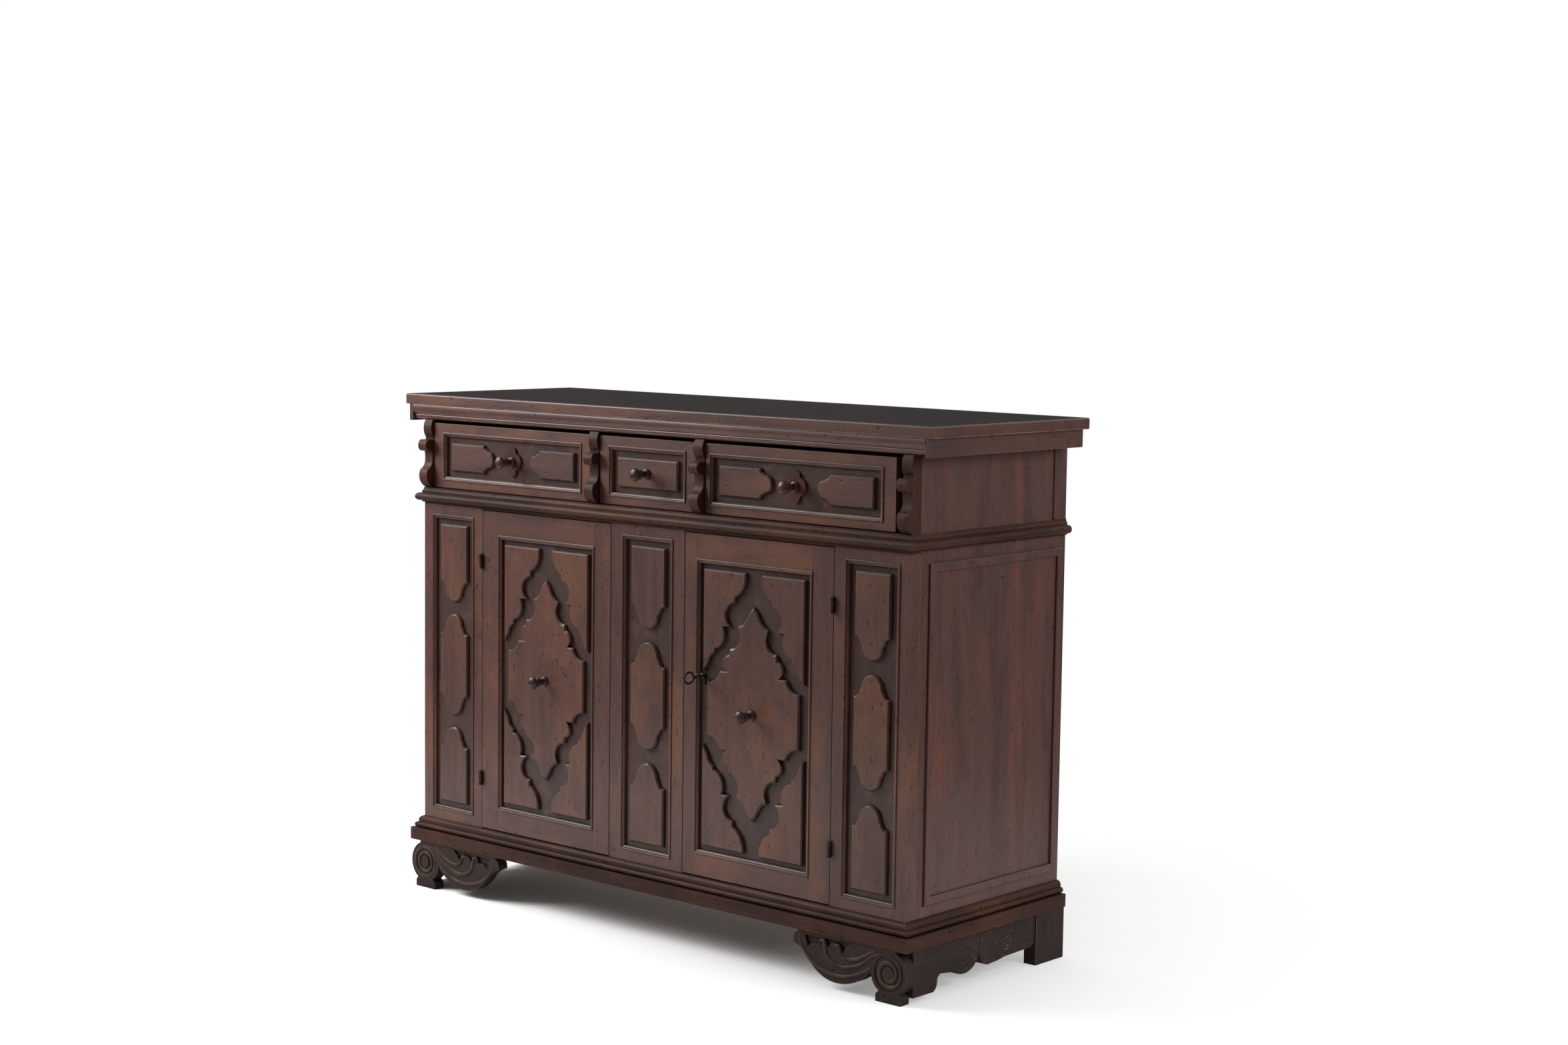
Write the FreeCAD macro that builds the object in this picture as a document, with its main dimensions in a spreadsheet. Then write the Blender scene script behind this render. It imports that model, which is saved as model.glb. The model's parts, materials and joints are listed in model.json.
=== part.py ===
import FreeCAD, Part
import math
import os
import re
import Sketcher

# A walnut credenza: three drawers between four corbels over two doors,
# on two scroll feet in front and two square legs behind.
# Right is +X, the front faces -Y and up is +Z. The floor is at zero.

SIZES = {
    # Body of the case
    "body_width": 1300, "body_depth": 467, "full_height": 1040, "key_reach": 54,
    "foot_height": 99, "base_height": 49.5, "waist_height": 34.5, "drawer_zone": 142,
    "cornice_tall": 30.5, "slab_thick": 21.5, "slab_side": 50, "slab_front": 9,
    "side_thick": 22, "frame_thick": 25, "back_thick": 12, "board_thick": 20,
    # Mouldings
    "cornice_reach": 6, "fascia_wide": 19, "fascia_drop": 34, "slab_lip": 1,
    "waist_reach": 15, "base_reach": 21, "slab_round": 3, "strip_wide": 18, "strip_rise": 3,
    "side_ring": 16, "side_ring_rise": 5, "side_ring_gap": 24, "side_ring_back": 13,
    "groove_wide": 3, "groove_deep": 2,
    # Sunk panels
    "side_pilaster": 178, "centre_pilaster": 198, "side_margin": 25, "centre_margin": 30.5,
    "sunk_low": 21, "sunk_high": 19, "bead_wide": 4, "bead_rise": 2, "bead_round": 1.5,
    "ovolo": 5, "sunk_deep": 7.5,
    # Doors
    "door_gap": 1, "floor_gap": 2.5, "top_gap": 2, "left_meeting": 46, "left_hinge": 47,
    "right_meeting": 30, "right_hinge": 51, "low_rail": 42, "top_rail": 47.5,
    "panel_thick": 12, "panel_lip": 6, "tracery_base": 5.2, "tracery_bevel": 2.5,
    "lozenge_side": 20, "lozenge_end": 72, "spandrel_gap": 9,
    # Raised plaques
    "plaque_side": 13.5, "plaque_end": 10.5, "plaque_space": 26, "plaque_thick": 7,
    "plaque_bevel": 3, "drawer_plaque_side": 14, "drawer_plaque_end": 12,
    # Drawers
    "drawer_set": 4, "drawer_front": 20, "drawer_low": 2, "drawer_head": 7, "drawer_gap": 1,
    "outer_margin": 28, "inner_margin": 25, "middle_margin": 24, "right_inner_margin": 10,
    "right_end_gap": 18, "low_margin": 15, "high_margin": 18, "box_wall": 12, "box_floor": 10,
    "box_head": 24, "box_back_gap": 21, "box_side": 2, "corbel_thick": 24, "corbel_reach": 19,
    "middle_gap": 258, "middle_shift": 8,
    # Turned knobs and plates
    "knob_long": 40, "knob_head": 13, "plate_wide": 52, "plate_tall": 61, "plate_thick": 4,
    # Feet
    "foot_wide": 269, "foot_set": 18, "foot_thick": 25, "foot_out": 20, "volute": 34,
    "volute_sink": 2, "eye": 12, "eye_rise": 3, "carve_deep": 6, "bracket_thick": 20,
    "bracket_out": 15, "bracket_gap": 73, "leg_wide": 28, "leg_deep": 90, "leg_out": 18,
    "joint_wide": 1.2, "joint_deep": 3,
    # Hinges
    "hinge_tall": 30, "hinge_in": 106.5, "barrel": 4, "pin": 2,
    "turning_play": 0.05, "knuckle_play": 0.3, "leaf_thick": 1.5, "leaf_deep": 18,
    # Lock and key
    "lock_under": 8.823, "lock_in": 49.3, "shank": 3, "slot_wide": 5, "slot_drop": 18.5,
    "keyhole": 3.75, "lock_wide": 80, "lock_tall": 72, "lock_drop": 28, "lock_deep": 15,
    "lock_wall": 2, "lock_inset": 3, "bolt_long": 60, "bolt_tall": 14, "bolt_thick": 5,
    "bolt_rise": 6, "bolt_set": 1, "bolt_in": 0.5, "bit_long": 14, "bit_wide": 8,
    "bit_thick": 2.5, "bit_set": 3, "bow_long": 30, "bow_tall": 25, "bow_thick": 4,
    "bow_wall": 4.5,
    # Fits and cuts
    "play": 0.3, "overrun": 5, "snap": 0.01,
}

# Hand-drawn proportions of the carved outlines
LOBE_SHARE = 0.60
NECK_SHARE = 0.72
RISE_SHARE = 0.22
NOTCH_SHARE = 0.40
END_PLAQUE_SHARE = 0.274
DRAWER_PLAQUE_SHARE = 0.355
FIELD_SHARE = 0.97
LOZENGE_SHARES = (
    (1.00, 0.257, -0.18), (0.722, 0.371, 0), (0.539, 0.376, 0.42), (0.53, 0.532, 0),
    (0.50, 0.59, -0.27), (0.304, 0.776, 0), (0.322, 0.805, -0.10), (0.126, 0.912, 0),
    (0.104, 0.937, 0.04), (0, 1.00, 0),
)
SPANDREL_SHARES = (
    (1.00, 1.00, 0), (0.157, 1.00, 0.17), (0.358, 0.822, 0), (0.37, 0.781, -0.38),
    (0.441, 0.605, 0), (0.594, 0.60, 0.25), (0.762, 0.436, 0), (0.775, 0.408, -0.12),
    (0.89, 0.337, 0), (0.905, 0.32, 0), (1.00, 0.262, 0),
)
CORBEL_SHARES = (
    (-0.10, 1.00, 0.16), (-0.10, 0.74, 0), (-0.10, 0.705, 0), (0.68, 0.705, 0.26),
    (0.68, 0.542, 0), (0.08, 0.535, -0.05), (0.03, 0.373, -0.12), (0.68, 0.268, 0.24),
    (-0.16, 0, 0),
)
CORNICE_SHARES = (
    (1.00, 1.00, 0.12), (0.35, 0.36, 0), (0.05, 0.335, 0), (0.25, 0.31, 0.22), (-0.80, 0, 0),
)
WAIST_SHARES = (
    (0.10, 1.00, -0.15), (0.27, 0.80, 0), (0.27, 0.667, 0), (0.46, 0.667, 0.5),
    (0.46, 0.203, 0), (0.27, 0.203, 0), (0.27, 0.116, 0), (0, 0.116, 0), (0, 0, 0),
)
BASE_SHARES = (
    (0.12, 1.00, 0.2), (0.42, 0.77, 0), (0.42, 0.747, 0), (0.46, 0.747, 0.5),
    (0.46, 0.525, 0), (0.46, 0.515, 0), (1.00, 0.515, 0), (1.00, 0, 0),
)
FOOT_SHARES = (
    (0.732, 0, 0), (0.948, 0, 0), (0.948, 0.14, 0), (0.929, 0.20, 0.297), (0.907, 0.943, 0),
    (0.896, 1.00, 0), (0.059, 1.00, 0.2), (0, 0.747, -0.08), (0.137, 0.485, 0.12),
    (0.401, 0.146, 0.11), (0.689, 0.525, 0.117), (0.758, 0.20, 0), (0.732, 0.14, 0),
)
HOLLOW_SHARES = (
    (0.10, 0.93, 0), (0.13, 0.70, -0.15), (0.24, 0.78, 0), (0.27, 0.88, 0.2), (0.32, 0.78, -0.3),
    (0.40, 0.84, 0), (0.44, 0.70, -0.2), (0.62, 0.96, 0),
)
VOLUTE_SHARES = (0.844, 0.556)
BRACKET_SHARES = (
    (0, 0.12, 0), (0.20, 0.12, 0.15), (0.236, 0.30, -0.25), (0.286, 0.42, 0),
    (0.394, 0.38, 0.06), (0.485, 0.288, 0.16), (0.657, 0.56, 0), (0.664, 0.56, 0.22),
    (0.77, 0.318, 0.03), (0.973, 0.40, 0), (1.00, 0.46, 0), (1.00, 1.00, 0), (0, 1.00, 0),
)
JOINT_SHARE = 0.66
PLATE_SHARES = (
    (0.42, -0.58, 0.42), (0.42, 0.58, 0), (0.40, 0.77, 0.15), (0, 1.00, 0.15),
    (-0.40, 0.77, 0), (-0.42, 0.58, 0.42), (-0.42, -0.58, 0), (-0.40, -0.77, 0.15),
    (0, -1.00, 0.15), (0.40, -0.77, 0),
)
KNOB_SHARES = (
    (1.00, 0, 0), (1.00, 0.40, 0), (0.92, 0.86, 0), (0.83, 1.00, 0), (0.74, 0.88, 0),
    (0.655, 0.42, 0), (0.52, 0.70, 0), (0.42, 0.64, 0), (0.34, 0.38, 0), (0.12, 0.54, 0),
    (0.10, 0.74, 0), (0, 0.74, 0), (0, 0, 0),
)
SHANK_SHARES = (
    (0, 1.00), (0.12, 1.00), (0.16, 1.70), (0.22, 1.70), (0.26, 1.15), (0.46, 1.45),
    (0.62, 1.15), (0.68, 1.80), (0.80, 1.80), (0.84, 1.20), (1.00, 1.20),
)

FRONT = "(key_reach - body_depth) / 2"
BACK = "(key_reach + body_depth) / 2"
CORNER = "body_width / 2"
FLOOR = "(foot_height + base_height)"
SLAB = "(full_height - slab_thick)"
CORNICE = f"({SLAB} - cornice_tall)"
DECK = f"({CORNICE} - drawer_zone)"
WAIST = f"({DECK} - waist_height)"
INSIDE = f"({CORNER} - side_thick)"
FRAME_BACK = f"({FRONT} + frame_thick)"
BACK_FACE = f"({BACK} - back_thick)"
PANEL_TALL = f"({WAIST} - {FLOOR})"
HINGE_LOW = f"({FLOOR} + hinge_in)"
HINGE_TOP = f"({WAIST} - hinge_in)"

doc = FreeCAD.newDocument("credenza")
sheet = doc.addObject("Spreadsheet::Sheet", "Sizes")
for row, (word, value) in enumerate(SIZES.items(), 1):
    sheet.set(f"A{row}", word)
    sheet.set(f"B{row}", str(value))
    sheet.setAlias(f"B{row}", word)
doc.recompute()


def link(text):
    """The same sum with each size word pointing at its cell."""
    return re.sub(r"[a-z][a-z_]*", lambda m: linked(m.group(0)), text)


def linked(word):
    return f"Sizes.{word}" if word in SIZES else word


def size(text):
    """The present value of a sum of sizes."""
    return float(sheet.evalExpression(link(text)))


def start(label, x, y, z):
    """An empty body whose own corner stands at the given place."""
    body = doc.addObject("PartDesign::Body", label)
    body.Label = label
    body.AllowCompound = True
    for axis, text in zip("xyz", (x, y, z)):
        body.setExpression(f"Placement.Base.{axis}", link(text))
    return body


def board(label, low, high):
    """A plain sawn board between two corners."""
    box = doc.addObject("Part::Box", label)
    box.Label = label
    for axis, name, start_at, end_at in zip("xyz", ("Length", "Width", "Height"), low, high):
        box.setExpression(name, link(f"{end_at} - ({start_at})"))
        box.setExpression(f"Placement.Base.{axis}", link(start_at))
    return box


def rectangle(low_x, low_y, high_x, high_y):
    return [(low_x, low_y, 0), (high_x, low_y, 0), (high_x, high_y, 0), (low_x, high_y, 0)]


def inset(frame, margin):
    low_x, low_y, high_x, high_y = frame
    return (f"{low_x} + {margin}", f"{low_y} + {margin}",
            f"{high_x} - ({margin})", f"{high_y} - ({margin})")


def mirrored(ring):
    """The outline seen in a mirror, walked the same way round."""
    turned = [(f"-({x})", y, 0) for x, y, bulge in reversed(ring)]
    bulges = [bulge for x, y, bulge in reversed(ring)]
    bulges = bulges[1:] + bulges[:1]
    return [(x, y, bulge) for (x, y, old), bulge in zip(turned, bulges)]


def shaped(shares, wide, tall, x="0", y="0"):
    """An outline from shares of a width and a height."""
    return [(f"{x} + {a} * ({wide})", f"{y} + {b} * ({tall})", c) for a, b, c in shares]


def circle(x, y, radius):
    """A full circle as two half turns."""
    return [(f"{x} - ({radius})", y, 0.5), (f"{x} + {radius}", y, 0.5)]


def settle(*items):
    """Works the given objects out again, in order."""
    for item in items:
        item.recompute()


def datum(body, role):
    """One of the body's own origin planes or axes."""
    return [item for item in body.Origin.OriginFeatures if item.Role == role][0]


def draw(body, plane, rings, lift):
    """Closed outlines on one of the body's own planes, every corner tied to the sizes."""
    sketch = body.newObject("Sketcher::SketchObject", f"{body.Label}_outline")
    sketch.AttachmentSupport = (datum(body, plane), [""])
    sketch.MapMode = "FlatFace"
    sketch.setExpression("AttachmentOffset.Base.z", link(lift))
    shapes, rules, ties = [], [], []
    for ring in rings:
        trace(ring, shapes, rules, ties)
    sketch.addGeometry(shapes, False)
    sketch.addConstraint(rules)
    for index, text in ties:
        sketch.setExpression(f"Constraints[{index}]", text)
    sketch.Visibility = False
    settle(sketch)
    return sketch


def trace(ring, shapes, rules, ties):
    """One closed outline of straight and bowed sides."""
    first = len(shapes)
    spots = [FreeCAD.Vector(size(x), size(y), 0) for x, y, bulge in ring]
    ends = [(2, 1) if bulge < 0 else (1, 2) for x, y, bulge in ring]
    for index, (x, y, bulge) in enumerate(ring):
        after = (index + 1) % len(ring)
        here, there = spots[index], spots[after]
        number = first + index
        shapes.append(side(here, there, bulge))
        tie("DistanceX", number, ends[index][0], x, rules, ties)
        tie("DistanceY", number, ends[index][0], y, rules, ties)
        rules.append(Sketcher.Constraint("Coincident", number, ends[index][1],
                                         first + after, ends[after][0]))
        if bulge:
            next_x, next_y, other = ring[after]
            reach = (bulge * bulge - 0.25) / (2 * bulge)
            steep = abs(there.y - here.y) > abs(there.x - here.x)
            if steep:
                middle = f"({x} + {next_x}) / 2 + ({next_y} - ({y})) * ({reach})"
                tie("DistanceX", number, 3, middle, rules, ties)
            else:
                middle = f"({y} + {next_y}) / 2 - ({next_x} - ({x})) * ({reach})"
                tie("DistanceY", number, 3, middle, rules, ties)


def side(here, there, bulge):
    """A straight side, or an arc that bows outward by a share of its chord."""
    if not bulge:
        return Part.LineSegment(here, there)
    chord = there - here
    middle = (here + there) / 2 + FreeCAD.Vector(chord.y, -chord.x, 0) * bulge
    bow = Part.Arc(here, middle, there).toShape().Curve
    begin, finish = (here, there) if bulge > 0 else (there, here)
    turns = [math.atan2(spot.y - bow.Center.y, spot.x - bow.Center.x) for spot in (begin, finish)]
    whole = Part.Circle(bow.Center, FreeCAD.Vector(0, 0, 1), bow.Radius)
    return Part.ArcOfCircle(whole, turns[0], turns[1])


def tie(kind, number, point, text, rules, ties):
    rules.append(Sketcher.Constraint(kind, -1, 1, number, point, size(text)))
    ties.append((len(rules) - 1, link(text)))


def grow(body, plane, rings, low, high):
    """Adds the outlines as a solid between two levels along the plane's own axis."""
    facing = plane == "XZ_Plane"
    sketch = draw(body, plane, rings, f"-({low})" if facing else low)
    feature = body.newObject("PartDesign::Pad", f"{body.Label}_solid")
    feature.Profile = sketch
    feature.setExpression("Length", link(f"{high} - ({low})"))
    feature.Reversed = facing
    settle(feature, body)
    return feature


def carve(body, plane, rings, low, high):
    """Cuts the outlines out between two levels along the plane's own axis."""
    facing = plane == "XZ_Plane"
    before = body.Tip.Shape.Volume
    sketch = draw(body, plane, rings, f"-({low})" if facing else low)
    feature = body.newObject("PartDesign::Pocket", f"{body.Label}_cut")
    feature.Profile = sketch
    feature.setExpression("Length", link(f"{high} - ({low})"))
    feature.Reversed = not facing
    settle(feature, body)
    if not feature.Shape.Volume < before:
        raise ValueError(f"{body.Label}: the cut removes nothing")
    return feature


def turn(body, ring):
    """Turns an outline round the body's own Y axis."""
    sketch = draw(body, "XY_Plane", [ring], "0")
    feature = body.newObject("PartDesign::Revolution", f"{body.Label}_turned")
    feature.Profile = sketch
    feature.ReferenceAxis = (sketch, ["V_Axis"])
    feature.Angle = 360
    settle(feature, body)
    return feature


def edges_between(base, low, high):
    """The edges that lie between two corners of the body's own space."""
    slack = size("snap")
    near = [size(text) - slack for text in low]
    far = [size(text) + slack for text in high]
    chosen = []
    for number, edge in enumerate(base.Shape.Edges, 1):
        box = edge.BoundBox
        inside = (near[0] <= box.XMin and box.XMax <= far[0] and near[1] <= box.YMin
                  and box.YMax <= far[1] and near[2] <= box.ZMin and box.ZMax <= far[2])
        if inside:
            chosen.append(f"Edge{number}")
    if not chosen:
        raise ValueError(f"{base.Label}: no edge to work on")
    return chosen


def soften(body, radius, low, high):
    """Rounds every edge between two corners of the body's own space."""
    feature = body.newObject("PartDesign::Fillet", f"{body.Label}_round")
    base = feature.BaseFeature
    feature.Base = (base, edges_between(base, low, high))
    feature.setExpression("Radius", link(radius))
    settle(feature, body)
    return feature


def bevel(body, width, low, high):
    """Bevels every edge between two corners of the body's own space."""
    feature = body.newObject("PartDesign::Chamfer", f"{body.Label}_bevel")
    base = feature.BaseFeature
    feature.Base = (base, edges_between(base, low, high))
    feature.setExpression("Size", link(width))
    settle(feature, body)
    return feature


def reflect(body, roles):
    """Repeats the whole body in the mirror of each plane named."""
    whole = body.newObject("PartDesign::MultiTransform", f"{body.Label}_mirrored")
    whole.TransformMode = "Whole shape"
    steps = []
    for role in roles:
        step = body.newObject("PartDesign::Mirrored", f"{body.Label}_{role}")
        step.MirrorPlane = (datum(body, role), [""])
        steps.append(step)
    whole.Transformations = steps
    body.Tip = whole
    settle(whole, body)
    return whole


def repeat_up(body, distance):
    """Repeats the whole body once more, that much higher."""
    pattern = body.newObject("PartDesign::LinearPattern", f"{body.Label}_pair")
    pattern.TransformMode = "Whole shape"
    pattern.Direction = (datum(body, "Z_Axis"), [""])
    pattern.setExpression("Length", link(distance))
    pattern.Occurrences = 2
    body.Tip = pattern
    settle(pattern, body)
    return pattern


def span(sign, near, far):
    """A stretch on the right, or its mirror on the left."""
    return (near, far) if sign > 0 else (f"-({far})", f"-({near})")


def framed(sign, frame):
    """A frame on the right, or its mirror on the left."""
    return frame if sign > 0 else (f"-({frame[2]})", frame[1], f"-({frame[0]})", frame[3])


SIDES = (("left", -1), ("right", 1))


# Sunk panels with a bead and a quarter round
def sink(body, frame):
    """Sinks the ground inside a frame, rounds its lip and runs a bead round it."""
    carve(body, "XZ_Plane", [rectangle(*inset(frame, "bead_wide + ovolo"))], "0", "sunk_deep")
    finish_lip(body, frame)


def finish_lip(body, frame):
    """The quarter round and the bead round an opening in a face at zero depth."""
    hollow = inset(frame, "bead_wide + ovolo")
    soften(body, "ovolo", (hollow[0], "0", hollow[1]), (hollow[2], "0", hollow[3]))
    run_in = inset(frame, "bead_wide")
    grow(body, "XZ_Plane", [rectangle(*frame), rectangle(*run_in)], "-bead_rise", "0")
    soften(body, "bead_round", (frame[0], "-bead_rise", frame[1]),
           (frame[2], "-bead_rise", frame[3]))


def plaque(low, high, half, lobes):
    """A plaque along Z: a straight body with a lobe at the ends named."""
    ring = []
    if "low" in lobes:
        ring += lobed_end(half, low, -1)
    else:
        ring += [(f"-{half}", low, 0), (half, low, 0)]
    if "high" in lobes:
        ring += lobed_end(half, high, 1)
    else:
        ring += [(half, high, 0), (f"-{half}", high, 0)]
    return ring


def lobed_end(half, tip, sign):
    """A round lobe between two small hollow shoulders."""
    shoulder = f"{tip} - {sign} * ({LOBE_SHARE} + {NOTCH_SHARE}) * {half}"
    throat = f"{tip} - {sign} * ({LOBE_SHARE} + {NOTCH_SHARE} - {RISE_SHARE}) * {half}"
    spring = f"{tip} - {sign} * {LOBE_SHARE} * {half}"
    return [
        (f"{sign} * {half}", shoulder, -0.2), (f"{sign} * {NECK_SHARE} * {half}", throat, 0),
        (f"{sign} * {LOBE_SHARE} * {half}", spring, 0.5),
        (f"-{sign} * {LOBE_SHARE} * {half}", spring, 0),
        (f"-{sign} * {NECK_SHARE} * {half}", throat, -0.2), (f"-{sign} * {half}", shoulder, 0),
    ]


def laid(ring, x, y):
    """The same outline lying along X, turned a quarter."""
    return [(f"{x} + {b}", f"{y} - ({a})", bulge) for a, b, bulge in ring]


def moved(ring, x, y):
    return [(f"{x} + {a}", f"{y} + {b}", bulge) for a, b, bulge in ring]


def raised(body, rings):
    """Applied plaques on the sunk ground, bevelled all round."""
    face = "sunk_deep - plaque_thick"
    for ring in rings:
        grow(body, "XZ_Plane", [ring], face, "sunk_deep")
    reach = "body_width"
    bevel(body, "plaque_bevel", (f"-{reach}", face, f"-{reach}"), (reach, face, reach))


# Top and cornice
slab = start("top_slab", "0", FRONT, SLAB)
half_slab = f"({CORNER} + slab_side)"
plan = rectangle(f"-{half_slab}", "-slab_front", half_slab, "body_depth")
grow(slab, "XY_Plane", [plan], "0", "slab_thick")
soften(slab, "slab_round", (f"-{half_slab}", "-slab_front", "slab_thick"),
       (half_slab, "body_depth", "slab_thick"))

FASCIA_IN = f"({CORNER} + slab_side - slab_lip - fascia_wide)"
FASCIA_OUT = f"({CORNER} + slab_side - slab_lip)"


def rail_ring(shares, reach, tall):
    """A moulded rail seen from its end, with a flat back."""
    face = [(f"-({a}) * {reach}", f"{b} * ({tall})", c) for a, b, c in shares]
    return [("frame_thick", "0", 0), ("frame_thick", tall, 0)] + face


cornice = start("cornice_front", f"-{FASCIA_IN}", FRONT, CORNICE)
profile = rail_ring(CORNICE_SHARES, "cornice_reach", "cornice_tall")
grow(cornice, "YZ_Plane", [profile], "0", f"2 * {FASCIA_IN}")

for name, sign in SIDES:
    fascia = start(f"cornice_side_{name}", "0", FRONT, f"{SLAB} - fascia_drop")
    plan = [(FASCIA_IN, "-cornice_reach", 0), (FASCIA_OUT, "-cornice_reach", 0),
            (FASCIA_OUT, "body_depth", 0), (CORNER, "body_depth", 0),
            (CORNER, "frame_thick", 0), (FASCIA_IN, "frame_thick", 0)]
    plan = plan if sign > 0 else mirrored(plan)
    grow(fascia, "XY_Plane", [plan], "0", "fascia_drop")

# Sides, back and inner boards
for name, sign in SIDES:
    low, high = span(sign, INSIDE, CORNER)
    flank = start(f"side_board_{name}", low, FRONT, "foot_height")
    face = rectangle("frame_thick", "0", "body_depth", f"{SLAB} - foot_height")
    grow(flank, "YZ_Plane", [face], "0", "side_thick")
    strip = ("body_depth - frame_thick - strip_wide", f"{DECK} - foot_height",
             "body_depth - frame_thick", f"{SLAB} - fascia_drop - foot_height")
    out, proud = ("side_thick", "side_thick + strip_rise") if sign > 0 else ("-strip_rise", "0")
    grow(flank, "YZ_Plane", [rectangle(*strip)], out, proud)
    edge = proud if sign > 0 else out
    soften(flank, "strip_rise / 2", (edge, strip[0], strip[1]), (edge, strip[2], strip[3]))

    low, high = span(sign, CORNER, f"{CORNER} + side_ring_rise")
    ring = start(f"side_moulding_{name}", low, FRONT, FLOOR)
    outer = ("frame_thick + side_ring_gap", "sunk_low", "body_depth - side_ring_back",
             f"{PANEL_TALL} - sunk_high")
    grow(ring, "YZ_Plane", [rectangle(*outer), rectangle(*inset(outer, "side_ring"))],
         "0", "side_ring_rise")
    face = "side_ring_rise" if sign > 0 else "0"
    soften(ring, "side_ring_rise / 2", (face, outer[0], outer[1]), (face, outer[2], outer[3]))

back = start("back_boards", f"-{INSIDE}", BACK_FACE, "foot_height")
BACK_WIDE = f"(2 * {INSIDE})"
grow(back, "XZ_Plane", [rectangle("0", "0", BACK_WIDE, f"{SLAB} - foot_height")],
     "0", "back_thick")
groove = rectangle(f"{BACK_WIDE} / 4 - groove_wide / 2", "-overrun",
                   f"{BACK_WIDE} / 4 + groove_wide / 2", f"{SLAB} - foot_height + overrun")
first_groove = carve(back, "XZ_Plane", [groove], "back_thick - groove_deep",
                     "back_thick + overrun")
grooves = back.newObject("PartDesign::LinearPattern", "back_grooves")
grooves.Originals = [first_groove]
grooves.Direction = (first_groove.Profile[0], ["H_Axis"])
grooves.setExpression("Length", link(f"{BACK_WIDE} / 2"))
grooves.Occurrences = 3
back.Tip = grooves
settle(grooves, back)

board("bottom_board", (f"-{INSIDE}", FRAME_BACK, f"{FLOOR} - board_thick"),
      (INSIDE, BACK_FACE, FLOOR))
board("dust_board", (f"-{INSIDE}", FRAME_BACK, f"{DECK} - board_thick"),
      (INSIDE, BACK_FACE, DECK))


# Waist and base mouldings, mitred at the corners
def mitred_rail(label, shares, reach, level, tall):
    """A moulded front rail whose ends are mitred outside the corner."""
    rail = start(label, "0", FRONT, level)
    half = f"({CORNER} + {reach})"
    grow(rail, "YZ_Plane", [rail_ring(shares, reach, tall)], f"-{half}", half)
    beyond = f"({reach} + overrun)"
    corner = [(CORNER, "0", 0), (f"{CORNER} + {beyond}", f"-{beyond}", 0),
              (f"{CORNER} + {beyond}", "frame_thick + overrun", 0),
              (CORNER, "frame_thick + overrun", 0)]
    carve(rail, "XY_Plane", [corner, mirrored(corner)], "-overrun", f"{tall} + overrun")


def mitred_side(label, sign, shares, reach, level, tall):
    """The same moulding along a side, mitred in front and square behind."""
    strip = start(label, f"{sign} * {CORNER}", FRONT, level)
    face = mirrored([(f"-({a}) * {reach}", f"{b} * ({tall})", c) for a, b, c in shares])
    foot = [] if shares[-1][0] == 0 else [("0", "0", 0)]
    profile = foot + face + [("0", tall, 0)]
    profile = profile if sign > 0 else mirrored(profile)
    grow(strip, "XZ_Plane", [profile], f"-({reach})", "body_depth")
    beyond = f"({reach} + overrun)"
    corner = [("-overrun", "overrun", 0), ("-overrun", f"-{beyond}", 0),
              (beyond, f"-{beyond}", 0)]
    corner = corner if sign > 0 else mirrored(corner)
    carve(strip, "XY_Plane", [corner], "-overrun", f"{tall} + overrun")


mitred_rail("waist_rail", WAIST_SHARES, "waist_reach", WAIST, "waist_height")
mitred_rail("base_rail", BASE_SHARES, "base_reach", "foot_height", "base_height")
for name, sign in SIDES:
    mitred_side(f"waist_side_{name}", sign, WAIST_SHARES, "waist_reach", WAIST, "waist_height")
    mitred_side(f"base_side_{name}", sign, BASE_SHARES, "base_reach", "foot_height",
                "base_height")


# Pilasters with their plaques
def pilaster(name, x, wide, margin):
    """A sunk pilaster with three applied plaques, drawn from its own middle line."""
    frame = (f"-{wide} / 2 + {margin}", "sunk_low", f"{wide} / 2 - {margin}",
             f"{PANEL_TALL} - sunk_high")
    post = start(f"pilaster_{name}", x, FRONT, FLOOR)
    grow(post, "XZ_Plane", [rectangle(f"-{wide} / 2", "0", f"{wide} / 2", PANEL_TALL)],
         "0", "frame_thick")
    sink(post, frame)
    half = f"({wide} / 2 - {margin} - bead_wide - ovolo - plaque_side)"
    low = f"({frame[1]} + bead_wide + ovolo + plaque_end)"
    high = f"({frame[3]} - bead_wide - ovolo - plaque_end)"
    end = f"({END_PLAQUE_SHARE} * ({high} - {low}))"
    low_tip = f"({low} + {end})"
    high_tip = f"({high} - {end})"
    plaques = start(f"pilaster_plaques_{name}", x, FRONT, FLOOR)
    raised(plaques, [
        plaque(low, low_tip, half, ("high",)),
        plaque(f"({low_tip} + plaque_space)", f"({high_tip} - plaque_space)", half,
               ("low", "high")),
        plaque(high_tip, high, half, ("low",)),
    ])
    return post


def hinge_seats(body, edge, sign, level):
    """Lets both hinge leaves into an edge, on the side the sign points to."""
    low, high = span(sign, "-overrun", "leaf_thick")
    seats = [rectangle(f"{edge} + ({low})", f"{place} - hinge_tall / 2 - {level}",
                       f"{edge} + ({high})", f"{place} + hinge_tall / 2 - {level}")
             for place in (HINGE_TOP, HINGE_LOW)]
    carve(body, "XZ_Plane", seats, "-overrun", "leaf_deep")


for name, sign in SIDES:
    place = f"{sign} * ({CORNER} - side_pilaster / 2)"
    post = pilaster(name, place, "side_pilaster", "side_margin")
    hinge_seats(post, f"-{sign} * side_pilaster / 2", sign, FLOOR)
pilaster("centre", "0", "centre_pilaster", "centre_margin")

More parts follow.
